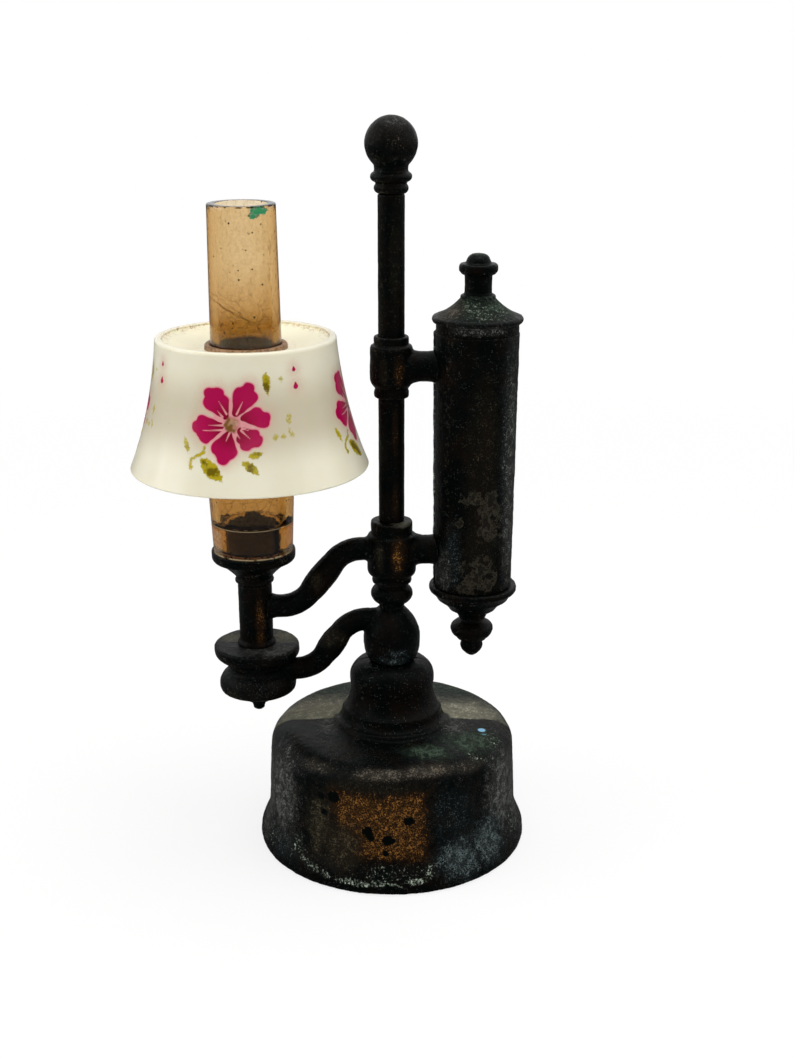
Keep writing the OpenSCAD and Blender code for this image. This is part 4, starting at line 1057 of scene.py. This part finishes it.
def ring_outline():
    """Closed outline of the grommet: flange under the web, body in its hole, rolled lip over it."""
    bore = 4.71
    lip_r = 5.42
    lip_z = WEB_LOW + WEB_T + 0.05
    points = [(bore, ring_low.z), (FLANGE_R - 0.15, ring_low.z)]
    points += arc(FLANGE_R - 0.2, ring_low.z + 0.2, 0.2, -60, 0, 3)
    points += [(FLANGE_R, WEB_LOW), (RING_R, WEB_LOW), (RING_R, lip_z)]
    points += [(lip_r, lip_z)] + arc(lip_r - 0.3, ring_high.z - 0.3, 0.3, 15, 90, 5)
    points += arc(bore + 0.15, ring_high.z - 0.15, 0.15, 90, 180, 3)
    return points


ring_mesh = lathe("ring", ring_outline(), BURNER_X, 120)
roughen(ring_mesh, 0.03)
ring_paint = brown_plastic("brown_plastic")
new_piece("brown_ring", ring_mesh, ring_paint, "shade_ring", "ring_plastic", "shade_ring", sharp=30)

FOOT_R = (shade_high.x - shade_low.x) / 2
TOP_R = 11.75
WAIST_R = 12.6
WAIST_UP = 0.454
SHADE_WALL = 0.9
SHADE_H = shade_high.z - shade_low.z


def shade_side(inset, low, high, count):
    """Points up the shade's flared side, from height low to high as shares of the whole."""
    waist_z = shade_low.z + WAIST_UP * SHADE_H
    foot = (FOOT_R - inset, shade_low.z)
    whole = curve(foot, (WAIST_R - inset, waist_z), (TOP_R - inset, shade_high.z), 200)
    heights = np.linspace(low, high, count)
    z = shade_low.z + heights * SHADE_H
    radii = np.interp(z, [q[1] for q in whole], [q[0] for q in whole])
    return list(zip(radii.tolist(), z.tolist()))


def shade_outline():
    """Closed outline of the shade with its web, and how many of its points lie on the printed side."""
    side = shade_side(0, 0.02, 0.985, 104)
    rim = arc(TOP_R - 0.3, shade_high.z - 0.28, 0.28, 25, 90, 4)
    rim += arc(TOP_R - SHADE_WALL + 0.2, shade_high.z - 0.2, 0.2, 90, 170, 4)
    inner_r = TOP_R - SHADE_WALL
    rim_web_z = WEB_LOW + WEB_T + WEB_RISE
    points = side + rim
    points += [(inner_r, rim_web_z + 0.2), (inner_r - 0.2, rim_web_z)]
    points += finer([(inner_r - 0.5, rim_web_z - 0.06), (FLANGE_R + 0.3, WEB_LOW + WEB_T + 0.05),
                     (RING_R + 0.05, WEB_LOW + WEB_T), (RING_R + 0.05, WEB_LOW), (FLANGE_R, WEB_LOW),
                     (inner_r - 0.3, WEB_LOW + WEB_RISE)], 1.0)
    under = (WEB_LOW + WEB_RISE - shade_low.z) / SHADE_H
    points += shade_side(SHADE_WALL, 0.015, under - 0.02, 24)[::-1]
    middle = FOOT_R - SHADE_WALL / 2
    points += arc(middle, shade_low.z + 0.36, 0.36, 200, 340, 6)
    return points, len(side)


# The print: each flower has six lobed petals, pale veins, a small heart and a spray of leaves.
# A flower's own coordinates run right and up from its middle, in millimetres.
# A petal is where it starts, with its half width there, and its lobes as x, y, radius.
# The heart and the drops are x, y, radius too, and a leaf is x, y, length, width and turn in degrees.
# A flower's share of the shade lies FIELD_LEAN degrees to its right, as its spray does.
FLOWERS = 4
FIRST_FLOWER_TURN = -4.2
FIELD_LEAN = 10
FLOWER_Z = 63.9
PETALS = [
    ((-0.70, 1.15, 0.42),
     [(-2.80, 3.75, 0.60), (-1.60, 3.70, 0.74), (-2.70, 2.60, 0.80), (-1.10, 2.75, 0.90)]),
    ((0.70, 1.45, 0.42), [(2.25, 4.40, 0.66), (1.20, 3.65, 0.84), (2.55, 3.30, 0.76), (1.10, 2.65, 0.84)]),
    ((1.60, 0.82, 0.32), [(3.20, 1.38, 0.70), (4.15, 0.68, 0.78), (4.15, 0.24, 0.66)]),
    ((1.22, -0.66, 0.36),
     [(3.00, -1.22, 0.58), (3.25, -1.90, 0.70), (1.95, -2.25, 0.78), (1.25, -1.75, 0.45)]),
    ((-0.25, -1.20, 0.42), [(-1.65, -2.75, 0.78), (-0.90, -4.00, 0.72), (-0.05, -3.15, 0.84)]),
    ((-1.40, -0.25, 0.52),
     [(-3.70, 0.25, 0.74), (-4.35, -0.45, 0.74), (-3.80, -0.90, 0.78), (-3.30, -1.45, 0.82)]),
]
VEINS = [((-0.50, 1.30), (-1.50, 2.85)), ((-1.00, 0.95), (-1.65, 1.65)), ((0.75, 1.30), (1.50, 2.80)),
         ((-0.90, -0.06), (-2.85, -0.10)), ((-0.85, -0.60), (-3.65, -0.82)),
         ((-0.10, -0.90), (-0.60, -2.00)), ((1.30, -0.65), (2.50, -1.72)),
         ((0.75, -1.05), (1.25, -1.70)), ((1.40, -0.38), (2.20, -0.64))]
HEART_PLACE = (0.12, 0.10, 0.92)
SEEDS = [((-0.62, 0.00), (-0.25, 0.66)), ((-0.50, -0.35), (0.38, -0.74)), ((-0.05, -0.25), (0.10, -0.10))]
LEAVES = [(4.45, 4.95, 3.1, 1.20, 97), (-2.50, -5.40, 4.3, 2.00, -40), (-5.95, -2.80, 2.2, 0.90, -71),
          (3.15, -3.60, 1.9, 1.00, 14), (2.55, -5.10, 3.0, 1.30, -36)]
STEM = [(-3.35, -2.90), (-3.60, -3.55), (-4.45, -3.90), (-5.15, -4.30), (-5.35, -4.75), (-5.20, -5.25)]
FAINT_LEAVES = [(7.40, 0.38, 1.6, 0.8, 88), (7.75, -1.40, 1.5, 0.6, -62), (5.60, -1.60, 1.2, 0.9, 0),
                (6.70, -1.70, 1.0, 0.7, 0), (6.30, 5.30, 0.7, 0.6, 0)]
DROPS = [(8.12, 6.35, 0.27), (8.38, 4.30, 0.36)]
FAR = 9.0
PETAL_SPREAD = 0.07
RIM_WIDTH = 0.14
RIM_WIDER_INSIDE = 0.3
HALO_REACH = 0.9


def tapered(u, v, start, end, start_r, end_r):
    """Distance to a stroke whose half width goes from start_r to end_r."""
    du, dv = end[0] - start[0], end[1] - start[1]
    along = np.clip(((u - start[0]) * du + (v - start[1]) * dv) / (du * du + dv * dv), 0, 1)
    away = np.hypot(u - start[0] - du * along, v - start[1] - dv * along)
    return away - (start_r + (end_r - start_r) * along)


def leaf_distance(u, v, x, y, length, width, turn):
    """Distance to a pointed leaf with a toothed edge."""
    a = math.radians(turn)
    along = (u - x) * math.cos(a) + (v - y) * math.sin(a)
    across = -(u - x) * math.sin(a) + (v - y) * math.cos(a)
    share = np.clip(np.abs(2 * along / length), 0, 2)
    teeth = 0.13 * np.abs(np.sin(along * 5.5 + np.sign(across) * 0.7))
    return np.abs(across) - (width / 2) * (1 - share ** 2) + teeth * (share < 0.95)


def nearest(distances):
    """The least of several distances, and FAR at most."""
    return np.minimum(np.minimum.reduce(distances), FAR)


def strokes(u, v, lines, start_r, end_r):
    """Distance to the nearest of some tapering strokes."""
    return nearest([tapered(u, v, start, end, start_r, end_r) for start, end in lines])


def petal_distance(u, v, root, lobes):
    """Distance to a petal that spreads from its root into ruffled lobes."""
    spokes = [tapered(u, v, root[:2], lobe[:2], root[2], lobe[2]) for lobe in lobes]
    webs = [tapered(u, v, a[:2], b[:2], a[2] * 0.85, b[2] * 0.85) for a, b in zip(lobes, lobes[1:])]
    return nearest(spokes + webs)


def flower_fields(u, v):
    """Distances to the flower's parts, each below 0 inside."""
    ruffle = 0.05 * np.sin(3.9 * u + 1.0) * np.sin(3.3 * v)
    petal = nearest([petal_distance(u, v, root, lobes) for root, lobes in PETALS])
    petal = petal + ruffle - PETAL_SPREAD
    reach = np.hypot(u, v)
    edge = petal - RIM_WIDTH - RIM_WIDER_INSIDE * np.exp(-(reach / 2.4) ** 4)
    heart = np.hypot(u - HEART_PLACE[0], v - HEART_PLACE[1]) - HEART_PLACE[2]
    petal = np.maximum(petal, -strokes(u, v, VEINS, 0.13, 0.04))
    drops = [tapered(u, v, (x, y - radius * 0.2), (x - 0.05, y + radius), radius, radius * 0.35)
             for x, y, radius in DROPS]
    petal = nearest([petal, *drops])
    stem = strokes(u, v, zip(STEM, STEM[1:]), 0.19, 0.19)
    bud = np.hypot(u - STEM[-1][0], v - STEM[-1][1]) - 0.32
    leaf = nearest([stem, bud, *(leaf_distance(u, v, *spec) for spec in LEAVES)])
    faint = nearest([leaf_distance(u, v, *spec) for spec in FAINT_LEAVES])
    seed = strokes(u, v, SEEDS, 0.24, 0.20)
    halo = np.exp(-(np.maximum(petal, 0) / HALO_REACH) ** 2)
    return {"petal": petal, "edge": edge, "leaf": leaf, "faint": faint, "seed": seed, "heart": heart,
            "reach": reach, "halo": halo}


def print_flowers(mesh, points, side_count, segments):
    """Writes the print's distances on the shade's outer side as attributes."""
    turns = np.degrees(2 * np.pi * np.arange(segments) / segments)
    radii = np.array([r for r, z in points[:side_count]])
    heights = np.array([z for r, z in points[:side_count]])
    share = 360 / FLOWERS
    from_left = turns - FIRST_FLOWER_TURN - FIELD_LEAN + share / 2
    own_turn = from_left % share - share / 2 + FIELD_LEAN
    u = np.radians(own_turn)[:, None] * radii[None, :]
    v = np.repeat((heights - FLOWER_Z)[None, :], segments, axis=0)
    for name, field in flower_fields(u, v).items():
        outside = 0.0 if name == "halo" else FAR
        values = np.full((segments, len(points)), outside, np.float32)
        values[:, :side_count] = field
        layer = mesh.attributes.new(name, "FLOAT", "POINT")
        layer.data.foreach_set("value", values.ravel())


SHADE_SEGMENTS = 560
shade_points, side_count = shade_outline()
shade_mesh = lathe("shade", shade_points, BURNER_X, SHADE_SEGMENTS)
print_flowers(shade_mesh, shade_points, side_count, SHADE_SEGMENTS)
shade_paint = printed_plastic("printed_plastic", WEB_LOW + WEB_T, TOP_R - SHADE_WALL)
new_piece("printed_shade", shade_mesh, shade_paint, "shade", "shade_plastic", "shade", sharp=40)
